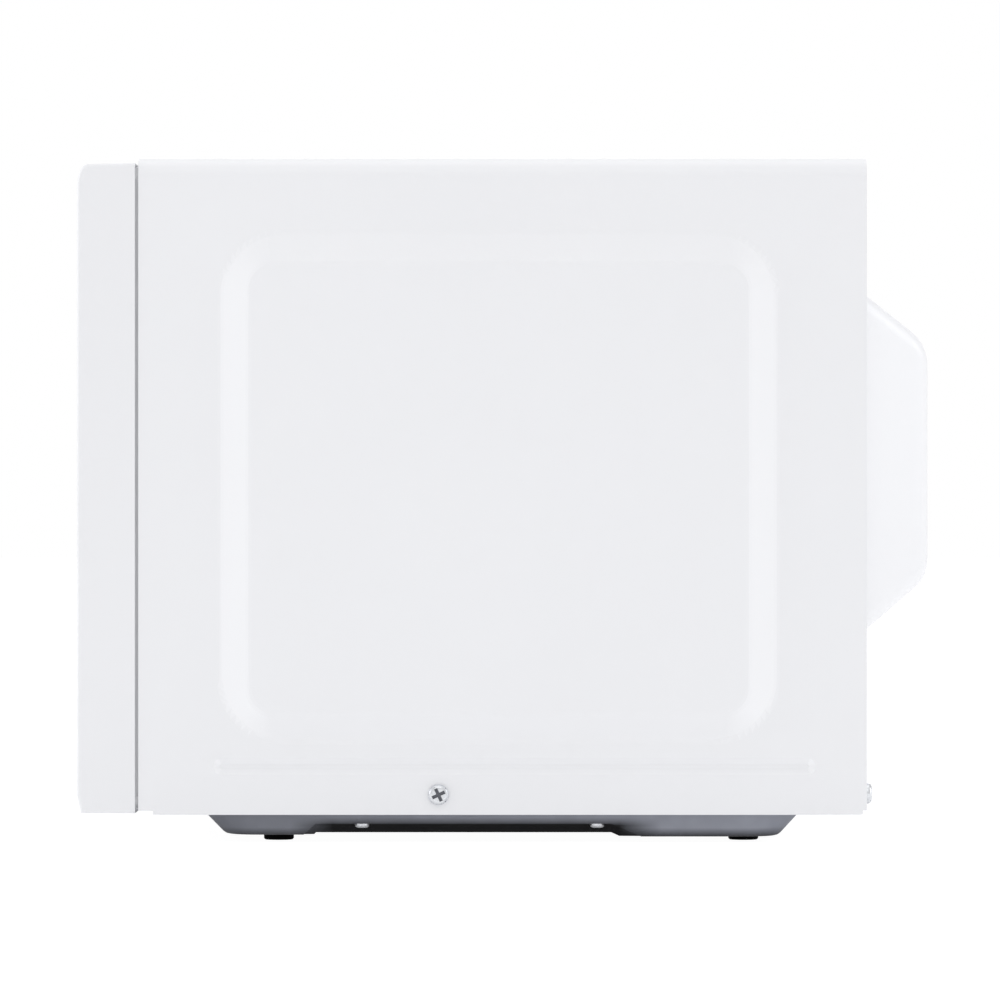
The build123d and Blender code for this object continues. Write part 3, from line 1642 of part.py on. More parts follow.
def blade_plane(radius, pitch):
    """Plane across a blade at a radius, turned to the blade's pitch there."""
    along = math.radians(pitch)
    chord = (math.cos(along), math.sin(along), 0)
    return Plane((fan_x, blade_y, fan_z + radius), x_dir=chord, z_dir=(0, 0, 1))


with BuildPart() as blade_form:
    with BuildSketch(blade_plane(blade_root, blade_root_pitch)):
        Rectangle(blade_root_chord, blade_thick)
    with BuildSketch(blade_plane(blade_tip, blade_tip_pitch)):
        Rectangle(blade_tip_chord, blade_thick)
    loft()

with BuildPart() as fan_blade:
    with BuildSketch(facing(hub_front_y + hub_length)):
        with Locations((fan_x, fan_z)):
            Circle(hub_radius)
    extrude(amount=hub_length)
    fillet(fan_blade.faces().sort_by(Axis.Y)[0].edges(), hub_nose)
    fan_axis = Axis((fan_x, 0, fan_z), (0, 1, 0))
    for blade_index in range(blade_count):
        add(blade_form.part.rotate(fan_axis, blade_index * 360 / blade_count))
    with BuildSketch(facing(hub_front_y + hub_length)):
        with Locations((fan_x, fan_z)):
            Circle(shaft_radius + run)
    extrude(amount=hub_length - hub_nose, mode=Mode.SUBTRACT)
fan_blade.part.label = "fan_blade"
export_step(fan_blade.part, "parts/fan_blade.step")

# Oven lamp in its holder on the bay side of the cavity

lamp_x = bay_x + holder_depth / 2

with BuildPart() as lamp_holder:
    with BuildSketch(Plane.YZ.offset(bay_x)):
        add(rect(holder_low_y, holder_low_y + holder_length, holder_high_z - holder_height, holder_high_z))
    extrude(amount=holder_depth)
    with BuildSketch(Plane.YZ.offset(bay_x)):
        add(
            rect(
                holder_low_y + holder_wall,
                holder_low_y + holder_length - holder_wall,
                holder_high_z - holder_height + holder_wall,
                holder_high_z - holder_wall,
            )
        )
    extrude(amount=holder_depth - holder_wall, mode=Mode.SUBTRACT)
lamp_holder.part.label = "lamp_holder"
export_step(lamp_holder.part, "parts/lamp_holder.step")

lamp_top = holder_high_z - holder_wall
lamp_neck = lamp_top - socket_length

with BuildPart() as oven_lamp:
    with BuildSketch(Plane.XY.offset(lamp_top)):
        with Locations((lamp_x, lamp_y)):
            Circle(socket_radius)
    extrude(amount=-socket_length)
    with Locations((lamp_x, lamp_y, lamp_neck - bulb_length / 2)):
        Sphere(bulb_radius)
    with BuildSketch(Plane.XY.offset(lamp_neck)):
        with Locations((lamp_x, lamp_y)):
            Circle(socket_radius - holder_wall)
    extrude(amount=-bulb_length / 2)
oven_lamp.part.label = "oven_lamp"
export_step(oven_lamp.part, "parts/oven_lamp.step")

# Thermal cut-outs on the magnetron yoke and on the cavity wall

with BuildPart() as thermal_cutouts:
    with BuildSketch(Plane.XY.offset(tube_z + yoke_height / 2)):
        with Locations(((guide_out_x + yoke_end_x) / 2, tube_y)):
            Circle(cutout_radius)
    extrude(amount=cutout_height)
    with BuildSketch(Plane.YZ.offset(bay_x)):
        with Locations((lamp_y, ceiling_z - holder_down - cutout_down)):
            Circle(cutout_radius)
    extrude(amount=cutout_height)
thermal_cutouts.part.label = "thermal_cutouts"
export_step(thermal_cutouts.part, "parts/thermal_cutouts.step")

# Turntable: motor, coupler, glass tray, roller ring and wheels

wheel_z = floor_z + fit + wheel_radius
tray_z = wheel_z + wheel_radius + fit
tray_radius = min(cavity_right - cavity_left, cavity_back_y - cavity_front_y) / 2 - tray_wall_gap
track_radius = tray_radius - track_inset
motor_top = floor_z - sheet

with BuildPart() as turntable_motor:
    with BuildSketch(Plane.XY.offset(motor_top)):
        with Locations((turn_x, turn_y)):
            Circle(motor_radius)
    extrude(amount=-motor_height)
    fillet(turntable_motor.faces().sort_by(Axis.Z)[0].edges(), gland_wall)
    with BuildSketch(Plane.XY.offset(motor_top)):
        with Locations((turn_x, turn_y)):
            Circle(coupler_stem_radius + run)
    extrude(amount=-motor_bore, mode=Mode.SUBTRACT)
turntable_motor.part.label = "turntable_motor"
export_step(turntable_motor.part, "parts/turntable_motor.step")

with BuildPart() as drive_coupler:
    with BuildSketch(Plane.XY.offset(motor_top - motor_bore + fit)):
        with Locations((turn_x, turn_y)):
            Circle(coupler_stem_radius)
    extrude(amount=tray_z - motor_top + motor_bore - fit)
    with BuildSketch(Plane.XY.offset(tray_z)):
        with Locations((turn_x, turn_y)):
            Circle(coupler_radius - coupler_lobe)
            with PolarLocations(coupler_radius - coupler_lobe, wheel_count):
                Circle(coupler_lobe)
    extrude(amount=-(tray_z - floor_z) / 2)
drive_coupler.part.label = "drive_coupler"
export_step(drive_coupler.part, "parts/drive_coupler.step")

with BuildPart() as glass_tray:
    with BuildSketch(Plane.XZ):
        with BuildLine():
            Polyline(
                (0, 0),
                (tray_radius - tray_rim_width - tray_thick, 0),
                (tray_radius, tray_rim),
                (tray_radius, tray_rim + tray_thick / 2),
                (tray_radius - tray_thick / 2, tray_rim + tray_thick / 2),
                (tray_radius - tray_rim_width - tray_thick, tray_thick),
                (0, tray_thick),
                close=True,
            )
        make_face()
        add(rect(tray_hub_radius - tray_hub_wall, tray_hub_radius, -tray_hub_drop, tray_thick / 2))
    revolve(axis=Axis.Z)
glass_tray.part = glass_tray.part.moved(Location((turn_x, turn_y, tray_z)))
glass_tray.part.label = "glass_tray"
export_step(glass_tray.part, "parts/glass_tray.step")

ring_outer = track_radius - wheel_width / 2 - fit
axle_end = track_radius + wheel_width / 2

with BuildPart() as roller_ring:
    with BuildSketch(Plane.XY.offset(wheel_z - ring_height / 2)):
        with Locations((turn_x, turn_y)):
            Circle(ring_outer)
            Circle(ring_outer - ring_width, mode=Mode.SUBTRACT)
    extrude(amount=ring_height)
    with Locations((turn_x, turn_y, wheel_z)):
        with PolarLocations(ring_outer - ring_width / 2, wheel_count):
            Cylinder(
                wheel_axle_radius,
                axle_end - ring_outer + ring_width / 2,
                rotation=(0, 90, 0),
                align=(Align.CENTER, Align.CENTER, Align.MIN),
            )
roller_ring.part.label = "roller_ring"
export_step(roller_ring.part, "parts/roller_ring.step")

for wheel_index in range(wheel_count):
    with BuildPart() as roller_wheel:
        with Locations((turn_x, turn_y, wheel_z)):
            with PolarLocations(0, 1, start_angle=wheel_index * 360 / wheel_count):
                with Locations((track_radius - wheel_width / 2, 0, 0)):
                    Cylinder(
                        wheel_radius,
                        wheel_width,
                        rotation=(0, 90, 0),
                        align=(Align.CENTER, Align.CENTER, Align.MIN),
                    )
                    Cylinder(
                        wheel_axle_radius + run,
                        wheel_width,
                        rotation=(0, 90, 0),
                        align=(Align.CENTER, Align.CENTER, Align.MIN),
                        mode=Mode.SUBTRACT,
                    )
    wheel_name = f"roller_wheel_{wheel_index + 1}"
    roller_wheel.part.label = wheel_name
    export_step(roller_wheel.part, f"parts/{wheel_name}.step")
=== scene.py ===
import json
import math

import bmesh
import bpy
from mathutils import Matrix, Vector


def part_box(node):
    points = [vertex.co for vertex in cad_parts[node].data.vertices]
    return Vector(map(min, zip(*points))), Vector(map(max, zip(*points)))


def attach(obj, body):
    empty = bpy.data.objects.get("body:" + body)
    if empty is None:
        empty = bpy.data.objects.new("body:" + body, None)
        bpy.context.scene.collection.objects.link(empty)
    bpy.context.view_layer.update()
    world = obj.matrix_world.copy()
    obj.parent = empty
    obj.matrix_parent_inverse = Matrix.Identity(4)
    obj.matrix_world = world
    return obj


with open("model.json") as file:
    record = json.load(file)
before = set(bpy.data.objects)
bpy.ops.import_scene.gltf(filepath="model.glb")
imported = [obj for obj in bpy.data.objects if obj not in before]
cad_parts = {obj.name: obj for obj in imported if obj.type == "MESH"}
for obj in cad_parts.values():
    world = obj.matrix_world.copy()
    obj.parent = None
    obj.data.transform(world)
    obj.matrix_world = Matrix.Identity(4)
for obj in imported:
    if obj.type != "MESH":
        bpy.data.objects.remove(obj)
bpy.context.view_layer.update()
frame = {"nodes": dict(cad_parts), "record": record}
nodes = frame["nodes"]
slot_of = {part["node"]: part["material_slot"] for part in frame["record"]["subparts"]}
MM = 0.001


# Materials: one shader tree each, with texture in object space, in metres

class Shader:
    """A principled material with short calls for the texture nodes used here."""

    def __init__(self, name, colour, roughness, metallic=0.0):
        self.material = bpy.data.materials.new(name)
        self.material.use_nodes = True
        self.nodes = self.material.node_tree.nodes
        self.links = self.material.node_tree.links
        self.bsdf = self.nodes["Principled BSDF"]
        self.colour = colour
        self.set("Base Color", (*colour, 1.0))
        self.set("Roughness", roughness)
        self.set("Metallic", metallic)
        self.place = self.nodes.new("ShaderNodeTexCoord").outputs["Object"]
        self.heights = []

    def set(self, socket, value):
        self.bsdf.inputs[socket].default_value = value

    def axes(self, vector=None):
        """X, Y and Z of another vector, or else of the place at rest."""
        split = self.nodes.new("ShaderNodeSeparateXYZ")
        self.links.new(self.place if vector is None else vector, split.inputs["Vector"])
        return split.outputs

    def noise(self, grain, detail, stretch=(1, 1, 1)):
        """Noise whose lumps are about grain metres across."""
        mapping = self.nodes.new("ShaderNodeMapping")
        mapping.inputs["Scale"].default_value = stretch
        self.links.new(self.place, mapping.inputs["Vector"])
        texture = self.nodes.new("ShaderNodeTexNoise")
        texture.inputs["Scale"].default_value = 1 / grain
        texture.inputs["Detail"].default_value = detail
        self.links.new(mapping.outputs["Vector"], texture.inputs["Vector"])
        return texture.outputs["Fac"]

    def cells(self, grain, feature="F1"):
        """Voronoi cells about grain metres across."""
        texture = self.nodes.new("ShaderNodeTexVoronoi")
        texture.feature = feature
        texture.inputs["Scale"].default_value = 1 / grain
        self.links.new(self.place, texture.inputs["Vector"])
        return texture.outputs["Distance"]

    def bands(self, pitch, axis):
        """Even stripes along one axis, one each pitch metres: at scale 1 they are pi / 10 apart."""
        texture = self.nodes.new("ShaderNodeTexWave")
        texture.bands_direction = axis
        texture.inputs["Scale"].default_value = math.pi / (10 * pitch)
        self.links.new(self.place, texture.inputs["Vector"])
        return texture.outputs["Fac"]

    def ramp(self, value, low, high, from_low=0.3, from_high=0.7):
        """Maps a value's range, by default that of most noise, to the range between two numbers."""
        remap = self.nodes.new("ShaderNodeMapRange")
        remap.inputs["From Min"].default_value = from_low
        remap.inputs["From Max"].default_value = from_high
        remap.inputs["To Min"].default_value = low
        remap.inputs["To Max"].default_value = high
        self.links.new(value, remap.inputs["Value"])
        return remap.outputs["Result"]

    def math(self, operation, first, second=None):
        """One math node; each side is a socket or a number."""
        node = self.nodes.new("ShaderNodeMath")
        node.operation = operation
        for socket, value in zip(node.inputs, (first, second)):
            if isinstance(value, (int, float)):
                socket.default_value = value
            elif value is not None:
                self.links.new(value, socket)
        return node.outputs["Value"]

    def tint(self, value, other):
        """Blends the base colour towards another one by a value from 0 to 1."""
        mix = self.nodes.new("ShaderNodeMix")
        mix.data_type = "RGBA"
        mix.inputs["A"].default_value = (*self.colour, 1.0)
        mix.inputs["B"].default_value = (*other, 1.0)
        before = self.bsdf.inputs["Base Color"]
        if before.links:
            self.links.new(before.links[0].from_socket, mix.inputs["A"])
        self.links.new(value, mix.inputs["Factor"])
        self.links.new(mix.outputs["Result"], before)

    def roughen(self, value, low, high):
        self.links.new(self.ramp(value, low, high), self.bsdf.inputs["Roughness"])

    def bump(self, value, depth):
        """Adds a bump of that depth in metres on top of earlier ones."""
        node = self.nodes.new("ShaderNodeBump")
        node.inputs["Distance"].default_value = depth
        node.inputs["Strength"].default_value = 1.0
        self.links.new(value, node.inputs["Height"])
        if self.heights:
            self.links.new(self.heights[-1], node.inputs["Normal"])
        self.heights.append(node.outputs["Normal"])
        self.links.new(node.outputs["Normal"], self.bsdf.inputs["Normal"])

    def darker(self, share):
        """The base colour times a share."""
        return tuple(channel * share for channel in self.colour)


slope_from = (0.04, 0.24)  # front-to-back lean at which the painted light on pressed slopes comes in
slope_to = (0.36, 0.52)  # and at which it goes out again
# colour of the painted light on the pressed slopes
slope_painted_light = (0.895, 0.9, 0.925)


def white_paint():
    """Powder coat: fine orange peel, faint cloudiness, with painted light on the pressed slopes."""
    coat = Shader("white_paint", (0.85, 0.855, 0.88), 0.36)
    coat.set("Coat Weight", 0.15)
    coat.set("Coat Roughness", 0.2)
    coat.tint(coat.ramp(coat.noise(0.09, 3), 0.0, 0.35), coat.darker(0.975))
    # Painted light: slopes that lean to the front or back are lightened, as if lit from there.
    normal = coat.nodes.new("ShaderNodeNewGeometry").outputs["True Normal"]
    lean = coat.math("ABSOLUTE", coat.axes(normal)["Y"])
    comes_in = coat.ramp(lean, 0.0, 1.0, *slope_from)
    goes_out = coat.ramp(lean, 1.0, 0.0, *slope_to)
    coat.tint(coat.math("MULTIPLY", comes_in, goes_out), slope_painted_light)
    coat.bump(coat.noise(0.0016, 3), 0.00002)
    coat.roughen(coat.noise(0.004, 2), 0.32, 0.42)
    return coat.material


gap_shade_start = 0.1 * MM  # painted shade starts this far into the gap behind the front


def white_plastic():
    """Moulded front: satin with a spark-eroded grain, with painted shade in the gap behind it."""
    shell = Shader("white_plastic", (0.84, 0.845, 0.87), 0.34)
    shell.tint(shell.ramp(shell.noise(0.07, 2), 0.0, 0.3), shell.darker(0.97))
    # Painted shade: everything behind the door frame's back face is darkened, as the gap is.
    behind = shell.math("GREATER_THAN", shell.axes()["Y"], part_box("door_frame")[1].y + gap_shade_start)
    shell.tint(behind, shell.darker(0.72))
    shell.bump(shell.noise(0.0005, 2), 0.000012)
    shell.roughen(shell.noise(0.003, 2), 0.3, 0.4)
    return shell.material


wall_shade_top = 6.0 * MM  # on the pan's walls painted shade starts at this height, towards the underside
wall_shade_full = 2.2 * MM  # and is full here
stretch_top = 10.0 * MM  # on the raised stretch the painted shadow starts at this height
stretch_full = 6.8 * MM  # and is full here
stretch_shadow_front = 58.0 * MM  # start of the raised stretch's painted shadow, behind the wrapper's front edge
stretch_shadow_rear = 200.0 * MM  # its end
stretch_shadow_fade = 16.0 * MM  # length over which it comes in, and goes out
# colour of the painted shadow on the raised stretch
stretch_shadow_black = (0.006, 0.006, 0.007)
pan_shade_length = 0.28  # painted shade: the pan gets lighter over this length, from front to back


def dark_zinc():
    """Dull steel pan with a soft spangle, with painted shade to the front and low on the walls, and a
    painted shadow on the raised stretch.
    """
    pan = Shader("dark_zinc", (0.36, 0.375, 0.43), 0.42, metallic=0.2)
    pan.set("Specular IOR Level", 0.25)
    pan.tint(pan.ramp(pan.cells(0.006), 0.0, 0.4, 0.0, 0.8), pan.darker(0.8))
    axes = pan.axes()
    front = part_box("outer_wrapper")[0].y
    # Painted shade: the pan is darker towards the front.
    pan.tint(pan.ramp(axes["Y"], 0.8, 0.0, front, front + pan_shade_length), pan.darker(0.4))
    # Painted shade: the walls go nearly black low down, where they turn under the oven.
    pan.tint(pan.ramp(axes["Z"], 0.0, 1.0, wall_shade_top, wall_shade_full), pan.darker(0.05))
    # Painted shadow: the raised stretch goes black low down, between its front and rear ends.
    start = pan.ramp(axes["Y"], 0.0, 1.0, front + stretch_shadow_front, front + stretch_shadow_front + stretch_shadow_fade)
    stop = pan.ramp(axes["Y"], 1.0, 0.0, front + stretch_shadow_rear - stretch_shadow_fade, front + stretch_shadow_rear)
    height = pan.ramp(axes["Z"], 0.0, 1.0, stretch_top, stretch_full)
    pan.tint(pan.math("MULTIPLY", height, pan.math("MULTIPLY", start, stop)), stretch_shadow_black)
    pan.roughen(pan.noise(0.01, 3), 0.42, 0.58)
    pan.bump(pan.noise(0.0012, 3), 0.00002)
    return pan.material


def cavity_enamel():
    """Light grey enamel with fine flecks."""
    enamel = Shader("cavity_enamel", (0.62, 0.63, 0.65), 0.28)
    enamel.set("Coat Weight", 0.3)
    enamel.tint(enamel.ramp(enamel.noise(0.0011, 4), 0.0, 0.5, 0.56, 0.66), (0.3, 0.31, 0.33))
    enamel.bump(enamel.noise(0.0025, 2), 0.00002)
    enamel.roughen(enamel.noise(0.02, 2), 0.22, 0.36)
    return enamel.material


def black_rubber():
    rubber = Shader("black_rubber", (0.003, 0.003, 0.0035), 0.72)
    rubber.set("Specular IOR Level", 0.05)
    rubber.tint(rubber.ramp(rubber.noise(0.004, 3), 0.0, 0.6), (0.007, 0.007, 0.0075))
    rubber.bump(rubber.noise(0.0006, 3), 0.00005)
    rubber.roughen(rubber.noise(0.002, 2), 0.62, 0.82)
    return rubber.material


recess_reach = 2.7 * MM  # half length of the cross recess in a screw head
recess_shade = 0.6 * MM  # this far below the head's top, the recess gets painted shade
# colour of the painted shade in the cross recesses
recess_painted_grey = (0.13, 0.135, 0.15)


def zinc_screw():
    """Bright plating, with painted shade in the cross recesses of the case screws."""
    zinc = Shader("zinc_screw", (0.78, 0.795, 0.82), 0.3, metallic=1.0)
    zinc.tint(zinc.ramp(zinc.noise(0.0012, 3), 0.0, 0.5), (0.6, 0.62, 0.66))
    zinc.bump(zinc.noise(0.0004, 3), 0.00003)
    zinc.roughen(zinc.noise(0.0008, 2), 0.2, 0.42)
    axes = zinc.axes()
    sockets = (zinc.math("ABSOLUTE", axes["X"]), axes["Y"], axes["Z"])
    corners = [vertex.co for vertex in nodes["case_screws"].data.vertices]
    points = [(abs(corner.x), corner.y, corner.z) for corner in corners]
    for out in (0, 1):  # heads that face sideways, then heads that face back
        top = max(point[out] for point in points)
        head = [point for point in points if point[out] > top - recess_shade]
        inside = zinc.math("LESS_THAN", sockets[out], top - recess_shade)
        for across in (1 - out, 2):
            middle = sum(point[across] for point in head) / len(head)
            away = zinc.math("ABSOLUTE", zinc.math("SUBTRACT", sockets[across], middle))
            inside = zinc.math("MULTIPLY", inside, zinc.math("LESS_THAN", away, recess_reach))
        # Painted shade in the cross recess of these heads.
        zinc.tint(inside, recess_painted_grey)
    return zinc.material


def black_plastic():
    shell = Shader("black_plastic", (0.022, 0.022, 0.024), 0.5)
    shell.tint(shell.ramp(shell.noise(0.006, 3), 0.0, 0.5), (0.045, 0.045, 0.048))
    shell.bump(shell.noise(0.0005, 2), 0.00003)
    shell.roughen(shell.noise(0.002, 2), 0.42, 0.6)
    return shell.material


def dark_panel():
    """Membrane keypad film: satin, with a fine leathery grain."""
    film = Shader("dark_panel", (0.02, 0.021, 0.024), 0.42)
    film.set("Specular IOR Level", 0.25)
    film.tint(film.ramp(film.noise(0.03, 2), 0.0, 0.4), (0.03, 0.031, 0.035))
    film.bump(film.cells(0.0004), 0.00001)
    film.roughen(film.noise(0.002, 2), 0.36, 0.5)
    return film.material


def see_through(name, colour, roughness, weight, ior=1.5):
    """Glass or film with faint smears in its gloss."""
    pane = Shader(name, colour, roughness)
    pane.set("Transmission Weight", weight)
    pane.set("IOR", ior)
    pane.roughen(pane.noise(0.02, 3, (1, 1, 3)), roughness, roughness + 0.05)
    pane.tint(pane.ramp(pane.noise(0.05, 2), 0.0, 0.25), pane.darker(0.9))
    return pane


def dark_glass():
    return see_through("dark_glass", (0.2, 0.205, 0.215), 0.03, 0.95).material


def clear_film():
    return see_through("clear_film", (0.93, 0.94, 0.94), 0.06, 1.0, 1.05).material


ring_pitch = 9.0 * MM
ring_depth = 0.12 * MM


def clear_glass():
    """Tempered tray glass with a slight green cast, ripple and pressed rings."""
    glass = see_through("clear_glass", (0.9, 0.955, 0.94), 0.02, 1.0)
    glass.bump(glass.noise(0.012, 2), 0.00006)
    low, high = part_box("glass_tray")
    axes = glass.axes()
    squares = [
        glass.math("POWER", glass.math("SUBTRACT", axes[axis], (low[axis] + high[axis]) / 2), 2.0)
        for axis in (0, 1)
    ]
    radius = glass.math("SQRT", glass.math("ADD", *squares))
    wave = glass.math("SINE", glass.math("MULTIPLY", radius, 2 * math.pi / ring_pitch))
    glass.bump(wave, ring_depth)
    return glass.material


def lamp_glass():
    bulb = see_through("lamp_glass", (0.95, 0.94, 0.9), 0.25, 0.85)
    bulb.bump(bulb.noise(0.0008, 2), 0.00002)
    return bulb.material


def circuit_board():
    """Solder resist over tracks."""
    board = Shader("circuit_board", (0.03, 0.16, 0.07), 0.4)
    tracks = board.math("GREATER_THAN", board.cells(0.006, "DISTANCE_TO_EDGE"), 0.07)
    board.tint(tracks, (0.05, 0.26, 0.11))
    board.bump(tracks, 0.00004)
    board.roughen(board.noise(0.004, 2), 0.3, 0.5)
    return board.material


def grey_plastic():
    shell = Shader("grey_plastic", (0.36, 0.37, 0.385), 0.46)
    shell.tint(shell.ramp(shell.noise(0.02, 3), 0.0, 0.4), shell.darker(0.9))
    shell.bump(shell.noise(0.0006, 2), 0.00002)
    shell.roughen(shell.noise(0.003, 2), 0.4, 0.56)
    return shell.material


def bare_metal(name, colour, low, high, grain, stretch=(1, 1, 1)):
    """Metal with drawn or rolled grain."""
    metal = Shader(name, colour, low, metallic=1.0)
    lines = metal.noise(grain, 3, stretch)
    metal.tint(metal.ramp(lines, 0.0, 0.6), metal.darker(0.8))
    metal.roughen(lines, low, high)
    metal.bump(metal.noise(grain * 2, 2, stretch), 0.00001)
    return metal


def plated_steel():
    steel = bare_metal("plated_steel", (0.56, 0.57, 0.59), 0.28, 0.44, 0.004)
    steel.tint(steel.ramp(steel.cells(0.012), 0.0, 0.4, 0.0, 0.9), (0.44, 0.45, 0.48))
    return steel.material


def copper():
    return bare_metal("copper", (0.78, 0.4, 0.24), 0.25, 0.42, 0.003).material


def aluminium():
    return bare_metal("aluminium", (0.76, 0.77, 0.78), 0.3, 0.45, 0.0015, (1, 1, 12)).material


def core_steel():
    """Varnished laminations, seen as fine stripes."""
    stack = Shader("core_steel", (0.11, 0.11, 0.118), 0.5, metallic=0.5)
    sheets = stack.bands(0.0012, "X")
    stack.tint(stack.ramp(sheets, 0.0, 1.0), (0.2, 0.2, 0.21))
    stack.bump(sheets, 0.0001)
    stack.roughen(stack.noise(0.003, 2), 0.42, 0.6)
    return stack.material


def copper_wire():
    """Enamelled wire in close turns."""
    coil = Shader("copper_wire", (0.42, 0.15, 0.05), 0.34, metallic=0.7)
    turns = coil.bands(0.0014, "Z")
    coil.tint(coil.ramp(turns, 0.0, 1.0), (0.62, 0.27, 0.1))
    coil.bump(turns, 0.0004)
    coil.roughen(coil.noise(0.004, 2), 0.28, 0.42)
    return coil.material


def ferrite():
    rock = Shader("ferrite", (0.055, 0.055, 0.06), 0.65)
    rock.tint(rock.ramp(rock.noise(0.002, 4), 0.0, 0.7), (0.1, 0.1, 0.105))
    rock.bump(rock.noise(0.001, 4), 0.00006)
    rock.roughen(rock.noise(0.003, 2), 0.55, 0.75)
    return rock.material


def mica():
    """Pressed mica flakes."""
    board = Shader("mica", (0.5, 0.42, 0.28), 0.4)
    board.set("Sheen Weight", 0.2)
    board.tint(board.ramp(board.cells(0.004), 0.0, 0.8, 0.0, 0.8), (0.36, 0.29, 0.17))
    board.bump(board.cells(0.003), 0.00005)
    board.roughen(board.noise(0.004, 2), 0.3, 0.5)
    return board.material


def white_nylon():
    nylon = Shader("white_nylon", (0.74, 0.74, 0.72), 0.45)
    nylon.set("Subsurface Weight", 0.15)
    nylon.set("Subsurface Radius", (0.002, 0.002, 0.0018))
    nylon.tint(nylon.ramp(nylon.noise(0.006, 2), 0.0, 0.4), nylon.darker(0.93))
    nylon.bump(nylon.noise(0.0006, 2), 0.00002)
    return nylon.material


# Door screen: black steel pierced with a close hexagonal pattern over the window

hole_pitch = 1.9 * MM
hole_radius = 0.66 * MM
screen_margin = 11.0 * MM  # unpierced edge inside the film


def door_steel():
    steel = Shader("door_steel", (0.02, 0.02, 0.022), 0.45)
    steel.tint(steel.ramp(steel.noise(0.004, 3), 0.0, 0.5), (0.04, 0.04, 0.043))
    steel.bump(steel.noise(0.0008, 2), 0.00002)
    axes = steel.axes()
    row_pitch = hole_pitch * math.sqrt(3)

    def from_centre(axis, pitch, shift):
        """Distance from the nearest hole centre of one of the two grids, along one axis."""
        cell = steel.math("FRACT", steel.math("ADD", steel.math("DIVIDE", axis, pitch), shift))
        return steel.math("MULTIPLY", steel.math("SUBTRACT", cell, 0.5), pitch)

    def grid(shift):
        """Distance from the nearest hole centre of one grid."""
        across = from_centre(axes["X"], hole_pitch, shift)
        up = from_centre(axes["Z"], row_pitch, shift)
        squares = steel.math("ADD", steel.math("POWER", across, 2.0), steel.math("POWER", up, 2.0))
        return steel.math("SQRT", squares)

    solid = steel.math("GREATER_THAN", steel.math("MINIMUM", grid(0.0), grid(0.5)), hole_radius)
    low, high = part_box("door_inner_film")
    for axis in (0, 2):
        below = steel.math("LESS_THAN", axes[axis], low[axis] + screen_margin)
        above = steel.math("GREATER_THAN", axes[axis], high[axis] - screen_margin)
        solid = steel.math("MAXIMUM", solid, steel.math("MAXIMUM", below, above))
    steel.links.new(solid, steel.bsdf.inputs["Alpha"])
    return steel.material


finishes = {
    maker.__name__: maker()
    for maker in (
        white_paint, white_plastic, dark_zinc, cavity_enamel, black_rubber, zinc_screw,
        black_plastic, dark_panel, dark_glass, circuit_board, door_steel, clear_film,
        grey_plastic, plated_steel, mica, copper, aluminium, ferrite, core_steel,
        copper_wire, lamp_glass, clear_glass, white_nylon,
    )
}

for name, node in nodes.items():
    node.data.materials.clear()
    node.data.materials.append(finishes[slot_of[name]])


# Print, drawn in millimetres on planes that face the front

pale_ink = (0.66, 0.67, 0.69)
start_ink = (0.07, 0.42, 0.2)


def ink(name, colour):
    """Screen-printed ink with slight fading."""
    paint = Shader(name, colour, 0.55)
    paint.tint(paint.ramp(paint.noise(0.002, 3), 0.0, 0.4), paint.darker(0.85))
    paint.bump(paint.noise(0.0004, 2), 0.000008)
    return paint.material


def black_enamel():
    """Ceramic border print fired on to the window glass."""
    frit = Shader("black_enamel", (0.006, 0.006, 0.007), 0.3)
    frit.tint(frit.ramp(frit.noise(0.003, 3), 0.0, 0.5), (0.012, 0.012, 0.013))
    frit.roughen(frit.noise(0.002, 2), 0.24, 0.36)
    return frit.material


def lit_segment():
    """Lit display segment, a little uneven."""
    glow = Shader("lit_segment", (0.1, 0.75, 0.62), 0.5)
    glow.set("Emission Color", (0.12, 0.95, 0.75, 1.0))
    glow.links.new(glow.ramp(glow.noise(0.004, 2), 3.4, 4.4), glow.bsdf.inputs["Emission Strength"])
    return glow.material


def dim_segment():
    glass = Shader("dim_segment", (0.03, 0.045, 0.043), 0.4)
    glass.tint(glass.ramp(glass.noise(0.003, 2), 0.0, 0.4), glass.darker(0.7))
    return glass.material


def polar(x, z, radius, angle):
    """Point at a distance from another one, with the angle in radians."""
    return (x + radius * math.cos(angle), z + radius * math.sin(angle))


def moved(points, x, z):
    return [(x + right, z + up) for right, up in points]


def middle_of(low, high):
    """Middle of a box, as x and z in millimetres."""
    return (low.x + high.x) / 2 / MM, (low.z + high.z) / 2 / MM


